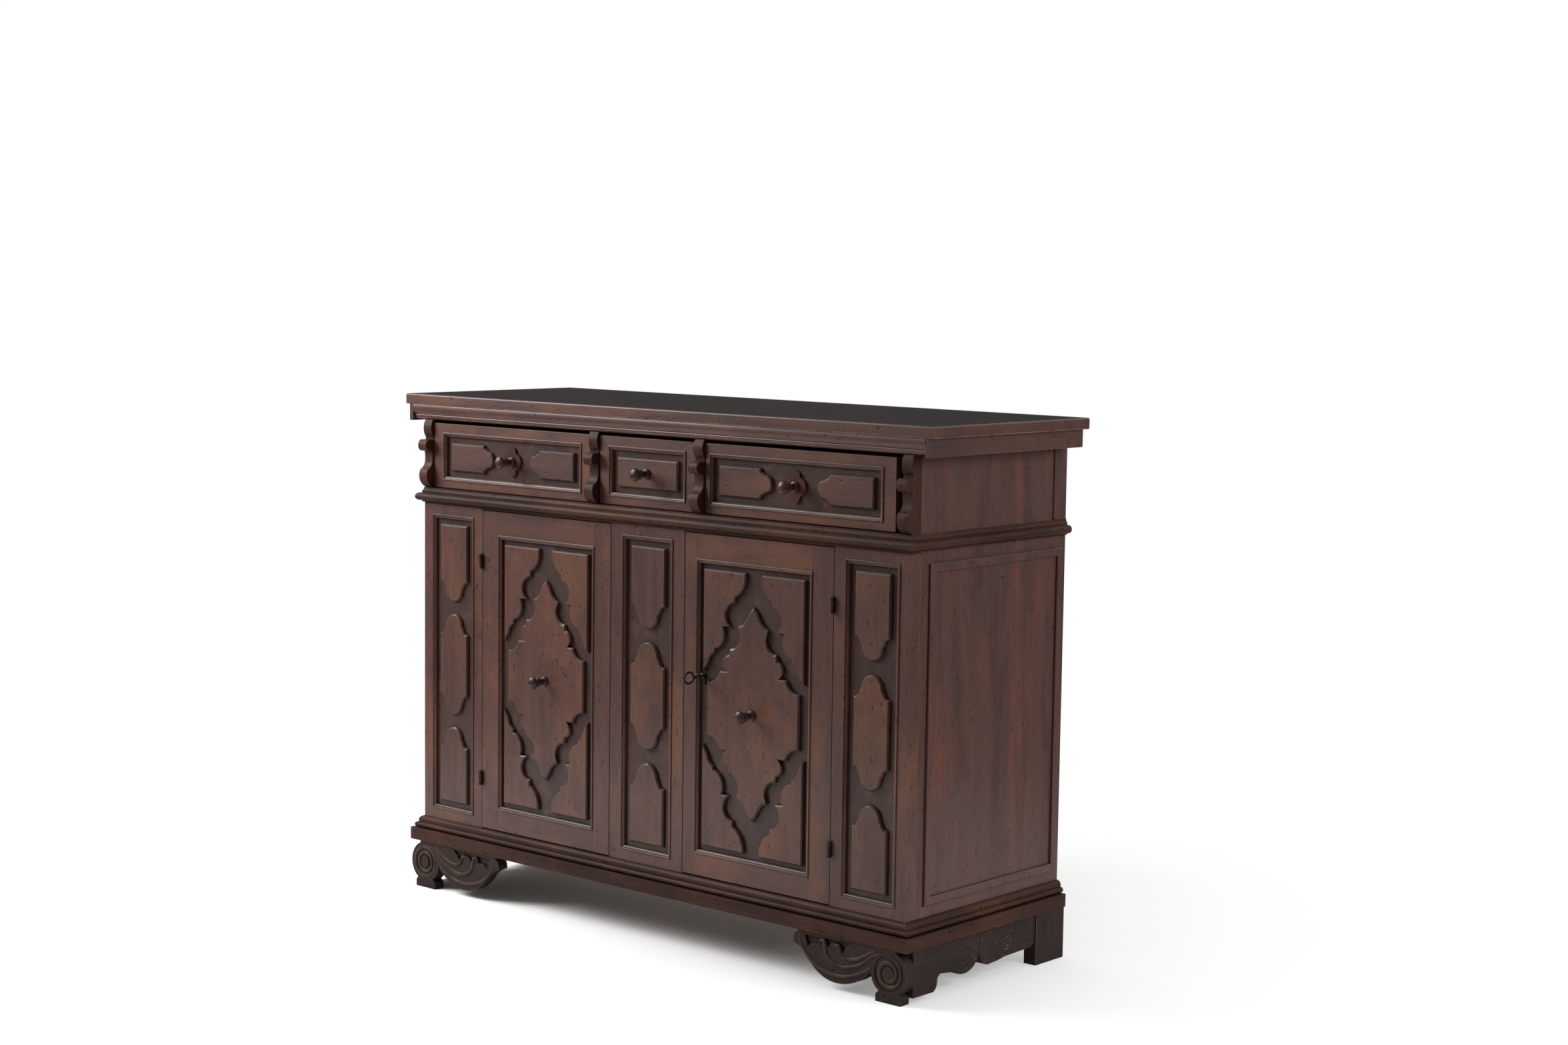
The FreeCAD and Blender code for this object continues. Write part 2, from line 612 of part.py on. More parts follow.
# Corbels and the partitions behind the inner two
corbel_ring = [("frame_thick", "0", 0), ("frame_thick", "drawer_zone", 0)]
corbel_ring += [(f"-({a}) * corbel_reach", f"{b} * drawer_zone", c) for a, b, c in CORBEL_SHARES]
BAY_LEFT = "(-middle_shift - middle_gap / 2)"
BAY_RIGHT = "(middle_gap / 2 - middle_shift)"
CORBEL_PLACES = (
    ("outer_left", f"-{CORNER}"), ("inner_left", f"{BAY_LEFT} - corbel_thick"),
    ("inner_right", BAY_RIGHT), ("outer_right", f"{CORNER} - corbel_thick"),
)
for label, x in CORBEL_PLACES:
    corbel = start(f"corbel_{label}", x, FRONT, DECK)
    grow(corbel, "YZ_Plane", [corbel_ring], "0", "corbel_thick")
for name, place in (("left", CORBEL_PLACES[1][1]), ("right", CORBEL_PLACES[2][1])):
    board(f"drawer_partition_{name}", (place, FRAME_BACK, DECK),
          (f"{place} + corbel_thick", BACK_FACE, SLAB))

# Feet
BRACKET_LONG = "(body_depth - leg_deep - foot_thick + foot_set - bracket_gap)"
for name, sign in SIDES:
    inner_end = f"{sign} * ({CORNER} + foot_out - foot_wide)"
    foot = start(f"front_foot_{name}", inner_end, f"{FRONT} - foot_set", "0")
    outline = shaped(FOOT_SHARES, "foot_wide", "foot_height")
    hollow = shaped(HOLLOW_SHARES, "foot_wide", "foot_height")
    middle = (f"{VOLUTE_SHARES[0]} * foot_wide", f"{VOLUTE_SHARES[1]} * foot_height")
    disc = circle(*middle, "volute")
    eye = circle(*middle, "eye")
    if sign < 0:
        outline, hollow, disc, eye = (mirrored(item) for item in (outline, hollow, disc, eye))
    grow(foot, "XZ_Plane", [outline], "0", "foot_thick")
    carve(foot, "XZ_Plane", [hollow], "-overrun", "carve_deep")
    carve(foot, "XZ_Plane", [disc], "-overrun", "volute_sink")
    grow(foot, "XZ_Plane", [eye], "volute_sink - eye_rise", "volute_sink")

    low, high = span(sign, f"{CORNER} + bracket_out - bracket_thick", f"{CORNER} + bracket_out")
    bracket = start(f"side_bracket_{name}", low, f"{FRONT} + foot_thick - foot_set", "0")
    grow(bracket, "YZ_Plane", [shaped(BRACKET_SHARES, BRACKET_LONG, "foot_height")],
         "0", "bracket_thick")
    joint = rectangle(f"{JOINT_SHARE} * {BRACKET_LONG} - joint_wide / 2", "0",
                      f"{JOINT_SHARE} * {BRACKET_LONG} + joint_wide / 2", "foot_height + overrun")
    near, far = ("bracket_thick - joint_deep", "bracket_thick + overrun")
    if sign < 0:
        near, far = ("-overrun", "joint_deep")
    carve(bracket, "YZ_Plane", [joint], near, far)

    low, high = span(sign, f"{CORNER} + leg_out - leg_wide", f"{CORNER} + leg_out")
    board(f"back_leg_{name}", (low, f"{BACK} - leg_deep", "0"), (high, BACK, "foot_height"))


# Turned knobs
def knob(body, seat):
    """A turned knob that stands on a face at the given depth and points forward."""
    ring = [(f"{b} * knob_head", f"{seat} - {a} * knob_long", c) for a, b, c in KNOB_SHARES]
    turn(body, ring)


# Doors
DOOR_NEAR = "(centre_pilaster / 2 + door_gap)"
DOOR_FAR = f"({CORNER} - side_pilaster - door_gap)"
DOOR_WIDE = f"({DOOR_FAR} - {DOOR_NEAR})"
DOOR_LOW = f"({FLOOR} + floor_gap)"
DOOR_TALL = f"({WAIST} - top_gap - {DOOR_LOW})"
PANEL_MIDDLE = f"(({DOOR_TALL} + low_rail - top_rail) / 2)"
PANEL_HALF = f"(({DOOR_TALL} - low_rail - top_rail) / 2 - bead_wide - ovolo)"
# The lock sits just under the lowest tip of the upper corner piece
CORNER_TIP = f"({SPANDREL_SHARES[-1][1]} * ({PANEL_HALF} - spandrel_gap))"
LOCK = f"({DOOR_LOW} + {PANEL_MIDDLE} + {CORNER_TIP} - lock_under)"


def door(name, sign, meeting, hinge):
    """A framed door whose sunk panel carries a cusped lozenge and four corner pieces."""
    x = f"{sign} * {DOOR_NEAR}"
    frame = framed(sign, (meeting, "low_rail", f"{DOOR_WIDE} - {hinge}",
                          f"{DOOR_TALL} - top_rail"))
    opening = inset(frame, "bead_wide + ovolo")
    rebate = inset(frame, "bead_wide + ovolo - panel_lip")
    stiles = start(f"door_frame_{name}", x, FRONT, DOOR_LOW)
    outline = framed(sign, ("0", "0", DOOR_WIDE, DOOR_TALL))
    grow(stiles, "XZ_Plane", [rectangle(*outline), rectangle(*opening)], "0", "frame_thick")
    carve(stiles, "XZ_Plane", [rectangle(*rebate)], "sunk_deep", "frame_thick + overrun")
    finish_lip(stiles, frame)
    hinge_seats(stiles, f"{sign} * {DOOR_WIDE}", -sign, DOOR_LOW)

    panel = start(f"door_panel_{name}", x, FRONT, DOOR_LOW)
    grow(panel, "XZ_Plane", [rectangle(*rebate)], "sunk_deep", "sunk_deep + panel_thick")
    if sign > 0:
        heart = f"({LOCK} - {DOOR_LOW})"
        slot = rectangle("lock_in - slot_wide / 2", f"{heart} - slot_drop",
                         "lock_in + slot_wide / 2", heart)
        for ring in (circle("lock_in", heart, "keyhole"), slot):
            carve(panel, "XZ_Plane", [ring], "-overrun", "frame_thick")

    middle_x = f"(({opening[0]}) + ({opening[2]})) / 2"
    middle_z = f"(({opening[1]}) + ({opening[3]})) / 2"
    half_x = f"((({opening[2]}) - ({opening[0]})) / 2)"
    half_z = f"((({opening[3]}) - ({opening[1]})) / 2)"
    tracery = start(f"door_tracery_{name}", f"{x} + {middle_x}", FRONT,
                    f"{DOOR_LOW} + {middle_z}")
    step = "(sunk_deep - tracery_base)"
    face = f"({step} - tracery_bevel)"
    corner = shaped(SPANDREL_SHARES, f"({half_x} - spandrel_gap)", f"({half_z} - spandrel_gap)")
    grow(tracery, "XZ_Plane", [corner], face, "sunk_deep")
    bevel(tracery, "tracery_bevel", ("0", face, "0"), (half_x, face, half_z))
    quarter = lozenge_quarter(half_x, half_z, "1")
    grow(tracery, "XZ_Plane", [quarter], step, "sunk_deep")
    slope = tracery.newObject("PartDesign::AdditiveLoft", f"{tracery.Label}_slope")
    slope.Profile = draw(tracery, "XZ_Plane", [quarter], f"-{step}")
    field = lozenge_quarter(half_x, half_z, str(FIELD_SHARE))
    slope.Sections = [draw(tracery, "XZ_Plane", [field], f"-{face}")]
    slope.Ruled = True
    tracery.Tip = slope
    settle(slope, tracery)
    reflect(tracery, ("YZ_Plane", "XY_Plane"))

    grip = start(f"door_knob_{name}", f"{x} + {middle_x}", FRONT, f"{DOOR_LOW} + {middle_z}")
    knob(grip, face)


def lozenge_quarter(half_x, half_z, share):
    """The upper right quarter of the cusped lozenge, closed through its middle."""
    wide = f"({share} * ({half_x} - lozenge_side))"
    tall = f"({share} * ({half_z} - lozenge_end))"
    return [("0", "0", 0), (wide, "0", 0)] + shaped(LOZENGE_SHARES, wide, tall)


door("left", -1, "left_meeting", "left_hinge")
door("right", 1, "right_meeting", "right_hinge")


# Hinges: the axis stands clear in front of the gap between door and pilaster
AXIS_X = f"({DOOR_FAR} + door_gap / 2)"
AXIS_Y = f"({FRONT} - barrel - play)"
FACE_Y = "(barrel + play)"
THIRD = "(hinge_tall / 3)"
pins = start("hinge_pins", "0", AXIS_Y, f"{HINGE_LOW} - hinge_tall / 2")
leaf = ("door_gap / 2", "door_gap / 2 + leaf_thick")
strap = rectangle(f"{AXIS_X} + {leaf[0]}", f"{FACE_Y} + play", f"{AXIS_X} + {leaf[1]}",
                  f"{FACE_Y} + leaf_deep")
grow(pins, "XY_Plane", [strap], "0", "hinge_tall")
neck = rectangle(f"{AXIS_X} + {leaf[0]}", "0", f"{AXIS_X} + {leaf[1]}", f"{FACE_Y} + play")
for low, high in (("0", THIRD), (f"2 * {THIRD}", "hinge_tall")):
    grow(pins, "XY_Plane", [neck], low, high)
    grow(pins, "XY_Plane", [circle(AXIS_X, "0", "barrel")], low, high)
grow(pins, "XY_Plane", [circle(AXIS_X, "0", "pin")], "0", "hinge_tall")
reflect(pins, ("YZ_Plane",))
repeat_up(pins, f"{HINGE_TOP} - {HINGE_LOW}")

for name, sign in SIDES:
    leaves = start(f"hinge_leaves_{name}", f"{sign} * {AXIS_X}", AXIS_Y,
                   f"{HINGE_LOW} - hinge_tall / 2")
    low, high = span(-sign, leaf[0], leaf[1])
    grow(leaves, "XY_Plane", [rectangle(low, f"{FACE_Y} + play", high, f"{FACE_Y} + leaf_deep")],
         "0", "hinge_tall")
    middle = (f"{THIRD} + knuckle_play", f"2 * {THIRD} - knuckle_play")
    grow(leaves, "XY_Plane", [rectangle(low, "0", high, f"{FACE_Y} + play")], *middle)
    grow(leaves, "XY_Plane", [circle("0", "0", "barrel")], *middle)
    carve(leaves, "XY_Plane", [circle("0", "0", "pin + turning_play")], "-overrun",
          "hinge_tall + overrun")
    repeat_up(leaves, f"{HINGE_TOP} - {HINGE_LOW}")

# Lock on the back of the right door, its bolt and its key
case = start("lock_case", DOOR_NEAR, FRAME_BACK, f"{LOCK} - lock_drop")
shell = ("lock_inset", "0", "lock_inset + lock_wide", "lock_tall")
grow(case, "XZ_Plane", [rectangle(*shell)], "0", "lock_deep")
carve(case, "XZ_Plane", [rectangle(*inset(shell, "lock_wall"))], "-overrun",
      "lock_deep - lock_wall")
carve(case, "XZ_Plane", [circle("lock_in", "lock_drop", "shank + turning_play")], "0",
      "lock_deep + overrun")
mouth = rectangle("bolt_set - play", "lock_drop + bolt_rise - play",
                  "bolt_set + bolt_thick + play", "lock_drop + bolt_rise + bolt_tall + play")
carve(case, "YZ_Plane", [mouth], "0", "lock_inset + lock_wall + overrun")
board("lock_bolt", (f"{DOOR_NEAR} + bolt_in", f"{FRAME_BACK} + bolt_set", f"{LOCK} + bolt_rise"),
      (f"{DOOR_NEAR} + bolt_in + bolt_long", f"{FRAME_BACK} + bolt_set + bolt_thick",
       f"{LOCK} + bolt_rise + bolt_tall"))

key = start("key", f"{DOOR_NEAR} + lock_in", FRONT, LOCK)
BOW_END = "(bow_long - key_reach)"
shank_ring = [("0", BOW_END, 0)]
shank_ring += [(f"{b} * shank", f"{BOW_END} + {a} * (sunk_deep - {BOW_END})", 0)
               for a, b in SHANK_SHARES]
shank_ring += [("shank", "sunk_deep", 0), ("shank", "frame_thick + lock_deep", 0),
               ("0", "frame_thick + lock_deep", 0)]
turn(key, shank_ring)


def bow_ring(inset_by):
    """An upright oval of two arcs and two straight sides."""
    low, high = f"-key_reach + {inset_by}", f"bow_long - key_reach - ({inset_by})"
    half = f"(bow_tall / 2 - ({inset_by}))"
    bend = "(bow_tall / 4)"
    return [(f"{low} + {bend}", f"-{half}", 0), (f"{high} - {bend}", f"-{half}", 0.2),
            (high, f"-{half} / 2", 0), (high, f"{half} / 2", 0.2),
            (f"{high} - {bend}", half, 0), (f"{low} + {bend}", half, 0.2),
            (low, f"{half} / 2", 0), (low, f"-{half} / 2", 0.2)]


grow(key, "YZ_Plane", [bow_ring("0"), bow_ring("bow_wall")], "-bow_thick / 2", "bow_thick / 2")
bit = rectangle("frame_thick + bit_set", "-bit_long", "frame_thick + bit_set + bit_wide", "0")
grow(key, "YZ_Plane", [bit], "-bit_thick / 2", "bit_thick / 2")


# Drawers
DRAWER_TALL = "(drawer_zone - drawer_low - drawer_head)"
BOX_TALL = "(drawer_zone - box_head)"
BOX_LONG = "(body_depth - back_thick - drawer_set - drawer_front - box_back_gap)"


def drawer(name, low, high, low_margin, high_margin):
    """A drawer between two uprights: front, box, plaques and pull."""
    level = f"({DECK} + drawer_low)"
    wide = f"({high} - ({low}))"
    face = f"({FRONT} + drawer_set)"
    frame = (low_margin, "low_margin", f"{wide} - {high_margin}", f"{DRAWER_TALL} - high_margin")
    front = start(f"drawer_front_{name}", low, face, level)
    grow(front, "XZ_Plane", [rectangle("0", "0", wide, DRAWER_TALL)], "0", "drawer_front")
    sink(front, frame)
    field = inset(frame, "bead_wide + ovolo + drawer_plaque_side")
    ground = inset(frame, "bead_wide + ovolo + drawer_plaque_end")
    middle_x = f"(({frame[0]}) + ({frame[2]})) / 2"
    middle_z = f"(({frame[1]}) + ({frame[3]})) / 2"
    half = f"((({ground[3]}) - ({ground[1]})) / 2)"
    pull = start(f"drawer_pull_{name}", f"{low} + {middle_x}", face, f"{level} + {middle_z}")
    if name == "middle":
        proud = "sunk_deep - plaque_thick"
        plain = (field[0], ground[1], field[2], ground[3])
        grow(front, "XZ_Plane", [rectangle(*plain)], proud, "sunk_deep")
        bevel(front, "plaque_bevel", (plain[0], proud, plain[1]), (plain[2], proud, plain[3]))
        knob(pull, proud)
    else:
        plaques = start(f"drawer_plaques_{name}", low, face, level)
        long = f"({DRAWER_PLAQUE_SHARE} * (({field[2]}) - ({field[0]})))"
        lying = plaque("0", long, half, ("high",))
        facing = plaque(f"-{long}", "0", half, ("low",))
        raised(plaques, [laid(lying, field[0], middle_z), laid(facing, field[2], middle_z)])
        plate = shaped(PLATE_SHARES, "plate_wide / 2", "plate_tall / 2")
        knob(pull, "sunk_deep - plate_thick")
        grow(pull, "XZ_Plane", [plate], "sunk_deep - plate_thick", "sunk_deep")

    box = start(f"drawer_box_{name}", f"{low} + box_side", f"{face} + drawer_front",
                f"{DECK} + play")
    inner = f"({wide} - 2 * box_side)"
    grow(box, "XY_Plane", [rectangle("0", "0", inner, BOX_LONG)], "0", BOX_TALL)
    hollow = rectangle("box_wall", "-overrun", f"{inner} - box_wall", f"{BOX_LONG} - box_wall")
    carve(box, "XY_Plane", [hollow], "box_floor", f"{BOX_TALL} + overrun")


drawer("left", f"corbel_thick + drawer_gap - {CORNER}", f"{BAY_LEFT} - corbel_thick - drawer_gap",
       "outer_margin", "inner_margin")
drawer("middle", f"{BAY_LEFT} + drawer_gap", f"{BAY_RIGHT} - drawer_gap",
       "middle_margin", "middle_margin")
drawer("right", f"{BAY_RIGHT} + corbel_thick + drawer_gap",
       f"{CORNER} - corbel_thick - right_end_gap", "right_inner_margin", "outer_margin")

# Outputs
os.makedirs("parts", exist_ok=True)
doc.recompute()
for item in doc.Objects:
    bad = [word for word in item.State if word in ("Invalid", "Error")]
    if bad:
        raise ValueError(f"{item.Label} is {bad}")
written = [item for item in doc.Objects if item.TypeId in ("PartDesign::Body", "Part::Box")]
for item in written:
    if item.Shape.isNull() or not item.Shape.isValid():
        raise ValueError(f"{item.Label} has no sound shape")
    item.Shape.exportStep(f"parts/{item.Label}.step")
print(len(written), "parts written")
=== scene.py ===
import json
import math

import bmesh
import bpy
from mathutils import Matrix, Vector

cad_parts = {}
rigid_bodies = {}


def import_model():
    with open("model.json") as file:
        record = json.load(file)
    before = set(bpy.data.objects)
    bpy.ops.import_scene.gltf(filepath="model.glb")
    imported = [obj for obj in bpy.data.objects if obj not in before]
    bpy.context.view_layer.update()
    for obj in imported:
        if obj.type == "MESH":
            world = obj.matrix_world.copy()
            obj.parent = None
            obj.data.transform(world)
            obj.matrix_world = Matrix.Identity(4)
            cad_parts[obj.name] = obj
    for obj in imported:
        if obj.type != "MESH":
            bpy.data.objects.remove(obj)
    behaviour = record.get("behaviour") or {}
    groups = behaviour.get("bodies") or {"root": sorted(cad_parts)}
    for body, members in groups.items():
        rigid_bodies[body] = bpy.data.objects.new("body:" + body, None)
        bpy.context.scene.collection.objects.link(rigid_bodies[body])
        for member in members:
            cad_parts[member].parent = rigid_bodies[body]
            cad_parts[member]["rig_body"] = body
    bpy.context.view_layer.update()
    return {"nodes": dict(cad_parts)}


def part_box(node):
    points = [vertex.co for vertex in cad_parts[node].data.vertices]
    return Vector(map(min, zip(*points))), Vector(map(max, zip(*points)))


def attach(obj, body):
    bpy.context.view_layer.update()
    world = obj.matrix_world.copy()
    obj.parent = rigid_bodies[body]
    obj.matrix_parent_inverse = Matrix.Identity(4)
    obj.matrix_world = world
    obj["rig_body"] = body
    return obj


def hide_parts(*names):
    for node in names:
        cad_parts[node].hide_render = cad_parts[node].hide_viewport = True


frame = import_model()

bl_info = {
    "name": "Walnut Credenza",
    "version": (1, 0, 0),
    "blender": (4, 5, 0),
    "location": "3D View > Sidebar > Credenza",
    "description": "Dresses the frame of a carved credenza in worn walnut and iron",
    "category": "Object",
}

MM = 0.001
# Axes, a quarter turn and the two sides with their signs
ALONG_X, ALONG_Y, ALONG_Z = Vector((1, 0, 0)), Vector((0, 1, 0)), Vector((0, 0, 1))
QUARTER = math.radians(90)
SIDES = {"left": -1, "right": 1}

# Mesh work: welds, the bends that count as flat or as a quirk, and slack in a depth
WELD = 0.01 * MM
FLAT_ANGLE = math.radians(0.6)
QUIRK_ANGLE = math.radians(24)
LEVEL_SLACK = 0.4 * MM
# How much of a normal points up on the top board's face and on a ledge that slopes up
TOP_FACING = 0.97
LEDGE_FACING = (0.3, 0.98)
# How much of it points to the front on sunk ground, on flat carving and at a rail's joint
GROUND_FACING = 0.9
CARVED_FACING = 0.93
JOINT_FACING = 0.5

# Depths of the carved fronts: the doors' sunk ground, their front and the drawers' ground
PANEL_SUNK = 7.5 * MM
DRAWER_BEHIND = 4 * MM
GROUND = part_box("door_panel_left")[0].y
FRONT = GROUND - PANEL_SUNK
DRAWER_GROUND = GROUND + DRAWER_BEHIND

# Joints between the rails and stiles of the doors
STILE_LINES = {"left": (-424 * MM, -146 * MM), "right": (130 * MM, 420 * MM)}
RAIL_LEVELS = (200 * MM, 755 * MM)
SEAM_LEVELS = (193 * MM, 762 * MM)
SEAM_HALF = 0.35 * MM

# Painted shadow along the doors' gaps, darker mouldings that look up, and painted shade on carved
# slopes
RIM_WIDE = 1.1 * MM
RIM_SHADE = 0.95
LEDGE_DARKENING = 0.5
SLOPE_SHADE = 0.55

# The photograph's view
EYE = Vector((3.4761, -3.7808, 1.3130))
EYE_AZIMUTH = math.radians(41.186)
EYE_ELEVATION = math.radians(5.614)
EYE_ROLL = math.radians(0.792)
LENS = 59.616
FAR_CLIP = 100

# Lamps: name, place, width and power; both look at the middle of the credenza
LAMPS = (
    ("window", (-2.1, -1.55, 2.1), 1.6, 94),
    ("fill", (3.5, 0.5, 2.0), 1.6, 52),
)
LAMP_AIM = Vector((0, 0, 0.5))

# Brightness of the floor as the camera sees it, and the floor's reach
FLOOR_LIFT = 1.19
FLOOR_RADIUS = 40
# The floor keeps its shadow round this place and is plain white further out
SHADOW_MIDDLE = (-0.55, -0.1, 0.0)
SHADOW_FADE = (0.7, 1.9)
# Further out, the floor that lights the wood is dark
DARK_FADE = (1.3, 2.8)
DARK_FLOOR = (90, 88, 86)
# Light from behind the credenza and from the camera's side, and where one turns to the other
BACK_LIGHT = 0.85
ROOM_LIGHT = 0.20
ROOM_TURN = (-0.35, 0.5)

# Noise of the wood: scale, detail, roughness and swirl
FIGURE = (22, 4, 0.6, 0.7)
FIBRE = (260, 3, 0.65)
PORES = (900, 1, 0.5)
PATCH = (4.2, 4, 0.6)
BANDS = (14, 4, 0.6)
BLOTCH = (11, 4, 0.6, 0.4)
NICKS = (150, 1, 0.4)
SMUDGE = (38, 3, 0.6)
FLECKS = (330, 1, 0.4)
WAVES = (26, 2, 0.5)
# Shares by which the noise is squeezed along the grain
SLOW_SQUEEZE = 0.88
FINE_SQUEEZE = 0.965
NICK_SQUEEZE = 0.5
WAVE_SQUEEZE = 0.6
# Depths of the wood's bump
WAVE_DEPTH = 0.40 * MM
FIBRE_DEPTH = 0.07 * MM
PUNCH_DEPTH = 0.45 * MM
PORE_DEPTH = 0.05 * MM
SEAM_DEPTH = 0.5 * MM
NICK_DEPTH = 0.4 * MM
# Noise of the iron, the depths of its bump and how far its dirt and painted shade spread from a
# corner
RUST = (60, 4, 0.6)
PITS = (420, 3, 0.6)
RUST_DEPTH = 0.25 * MM
PIT_DEPTH = 0.12 * MM
IRON_DIRT_AND_SHADE_REACH = 4 * MM

# The top board's edge and its wear with a painted highlight, and how far the cornice stands back
# under it
SLAB_EDGE = 2.2 * MM
SLAB_WEAR_AND_HIGHLIGHT = 1.5
CORNICE_STEP = 9 * MM
# Boards side by side in the back, and the width of the side mouldings' bars
BACK_BOARDS = 4
SIDE_BAR = 18 * MM

# Turned outlines, as shares of the length from the seat and of the head's radius
KNOB_LINE = (
    (1.00, 0.00), (0.992, 0.28), (0.965, 0.58), (0.915, 0.84), (0.84, 0.99), (0.77, 0.93),
    (0.705, 0.70), (0.665, 0.46), (0.64, 0.43), (0.61, 0.52), (0.57, 0.66), (0.51, 0.73),
    (0.45, 0.69), (0.40, 0.52), (0.36, 0.41), (0.28, 0.40), (0.19, 0.45), (0.12, 0.56),
    (0.10, 0.71), (0.05, 0.76), (0.00, 0.76),
)
KNOB_LONG = 40 * MM
KNOB_HEAD = 13 * MM
KNOB_STEPS = 56
# Pulls with a plate: its thickness, and how deep the knob's seat is sunk in it
PLATE_THICK = 4 * MM
SEAT_SUNK = 0.02 * MM
# Iron pegs in the waist moulding, and their places along it in millimetres
PEG_LINE = ((1.00, 0.00), (0.94, 0.45), (0.70, 0.80), (0.30, 0.97), (0.00, 1.00))
PEG_PLACES = (-602, -588, 574, 596, 611)
PEG_LEVEL = 826.5 * MM
PEG_RADIUS = 2.4 * MM
PEG_PROUD = 0.8 * MM
PEG_STEPS = 16
# Steps between two points of a turned outline
LINE_STEPS = 3

# The key is new in front of the cut and the node's own behind it: a ringed shank, an oval
# bow by half its length and height, and the bow's wire by half its width and height
KEY_LINE = (
    (0.00, 1.1), (0.10, 1.1), (0.14, 1.75), (0.20, 1.80), (0.24, 1.15), (0.32, 1.15),
    (0.44, 1.45), (0.56, 1.15), (0.62, 1.15), (0.66, 1.80), (0.72, 1.85), (0.76, 1.30),
    (0.82, 1.80), (0.88, 1.60), (0.92, 1.15), (1.00, 1.25), (1.08, 1.0), (1.10, 0.0),
)
SHANK_RADIUS = 3 * MM
KEY_NECK = 24 * MM
KEY_STEPS = 28
KEY_CUT = 1 * MM
BOW_LONG, BOW_TALL = 15 * MM, 12.5 * MM
WIRE_WIDE, WIRE_TALL = 2.0 * MM, 2.3 * MM
BOW_STEPS = 44
WIRE_STEPS = 14
IRON_EDGE = 0.3 * MM

# The right foot's box, and the worn ridges of both feet as shares of its width and height
FOOT_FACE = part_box("front_foot_right")[0].y
FOOT_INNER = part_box("front_foot_right")[0].x
FOOT_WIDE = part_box("front_foot_right")[1].x - FOOT_INNER
FOOT_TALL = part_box("front_foot_right")[1].z
RIDGES = (
    ((0.05, 0.95), (0.07, 0.74), (0.14, 0.52), (0.24, 0.36), (0.36, 0.29), (0.48, 0.31),
     (0.58, 0.40), (0.66, 0.53), (0.72, 0.68)),
    ((0.235, 0.79), (0.245, 0.87), (0.275, 0.885), (0.288, 0.80), (0.30, 0.66), (0.35, 0.53),
     (0.43, 0.47), (0.52, 0.51), (0.61, 0.62), (0.69, 0.78), (0.77, 0.90)),
    ((0.365, 0.75), (0.375, 0.83), (0.405, 0.845), (0.425, 0.75), (0.46, 0.665), (0.52, 0.65),
     (0.59, 0.71), (0.66, 0.82), (0.73, 0.93)),
)
RIDGE_THICK = 4.4 * MM
RIDGE_STEPS = 5
# A ridge keeps this share of its thickness at a tip and thins over this share of its path
RIDGE_TIP = 0.35
RIDGE_FADE = 0.25
# The ridges' share of the worn edge colour: partly bared wood, partly a painted highlight
RIDGE_WEAR_AND_HIGHLIGHT = 0.3
# Depths of the ridges' middles behind a foot's foremost point
TENDRIL_SUNK = 2.4 * MM
VOLUTE_SUNK = 3.8 * MM
VOLUTE = (0.844, 0.556)
VOLUTE_RADIUS = 31 * MM
VOLUTE_RING = 20 * MM
VOLUTE_EYE = 7 * MM
VOLUTE_TURNS = 2.1
VOLUTE_START = math.radians(100)
VOLUTE_STEPS = 72
VOLUTE_TIP = 0.6

# The side brackets' last lobe and its gap to the back leg
LOBE_END = 16 * MM
LEG_GAP = 0.3 * MM


# Colours and sizes that the panel shows
def tint(red, green, blue):
    """A picture colour, 0 to 255, as the shader's own linear colour."""
    shares = [value / 255 for value in (red, green, blue)]
    return tuple(s / 12.92 if s <= 0.04045 else ((s + 0.055) / 1.055) ** 2.4 for s in shares)


def colour(name, description, red, green, blue):
    """A colour in the panel, 0 to 255 in the picture."""
    return bpy.props.FloatVectorProperty(
        name=name, description=description, subtype="COLOR", size=3, min=0, max=1,
        default=tint(red, green, blue))


class CredenzaColours(bpy.types.PropertyGroup):
    """Colours of the woods, the iron and the floor."""
    walnut: colour("Walnut", "Middle tone of the walnut", 86, 54, 45)
    heart: colour("Heartwood", "Dark streaks in the walnut", 48, 30, 27)
    ochre: colour("Ochre", "Warm patches in the walnut", 120, 74, 48)
    plum: colour("Plum", "Cool red patches in the walnut", 70, 44, 43)
    # Pale colour of bared wood on worn edges, also a painted highlight along them
    worn_and_highlight: colour("Worn edge", "Wood bared along the edges", 152, 112, 94)
    # Dark colour for dirt, and for the painted shade in corners, in the doors' gaps and on the
    # carving's slopes
    dirt_and_shade: colour("Dirt", "Wax and dirt in the corners", 17, 13, 12)
    punched: colour("Punched ground", "Sunk ground behind the carving", 66, 45, 38)
    cover: colour("Top board", "Dark face of the top", 31, 20, 16)
    inner: colour("Inner boards", "Plain boards inside and behind", 104, 78, 58)
    iron: colour("Iron", "Hinges, lock and key", 58, 50, 47)
    rust: colour("Rust", "Rusty patches of the iron", 84, 58, 46)
    floor: colour("Floor", "Pale floor", 238, 238, 238)


class CredenzaSizes(bpy.types.PropertyGroup):
    """Sizes of the worn edges and of the punched ground."""
    arris: bpy.props.FloatProperty(
        name="Worn edge", description="Width that is rounded off an outer edge",
        default=0.9 * MM, min=0, max=3 * MM, unit="LENGTH")
    fine_arris: bpy.props.FloatProperty(
        name="Carved edge", description="Width that is rounded off a carved edge",
        default=0.5 * MM, min=0, max=2 * MM, unit="LENGTH")
    crease: bpy.props.FloatProperty(
        name="Edge angle", description="Bend past which an outer edge is rounded",
        default=math.radians(28), min=0, max=math.pi, subtype="ANGLE")
    punch: bpy.props.FloatProperty(
        name="Punch rows", description="Distance between the rows of the punched ground",
        default=3.4 * MM, min=MM, max=20 * MM, unit="LENGTH")
    # How far the dark of the corners reaches, which is dirt and painted shade
    dirt_and_shade_reach: bpy.props.FloatProperty(
        name="Dirt reach", description="How far dirt spreads from a corner",
        default=8 * MM, min=MM, max=50 * MM, unit="LENGTH")


def colours():
    return bpy.context.scene.credenza_colours


def sizes():
    return bpy.context.scene.credenza_sizes


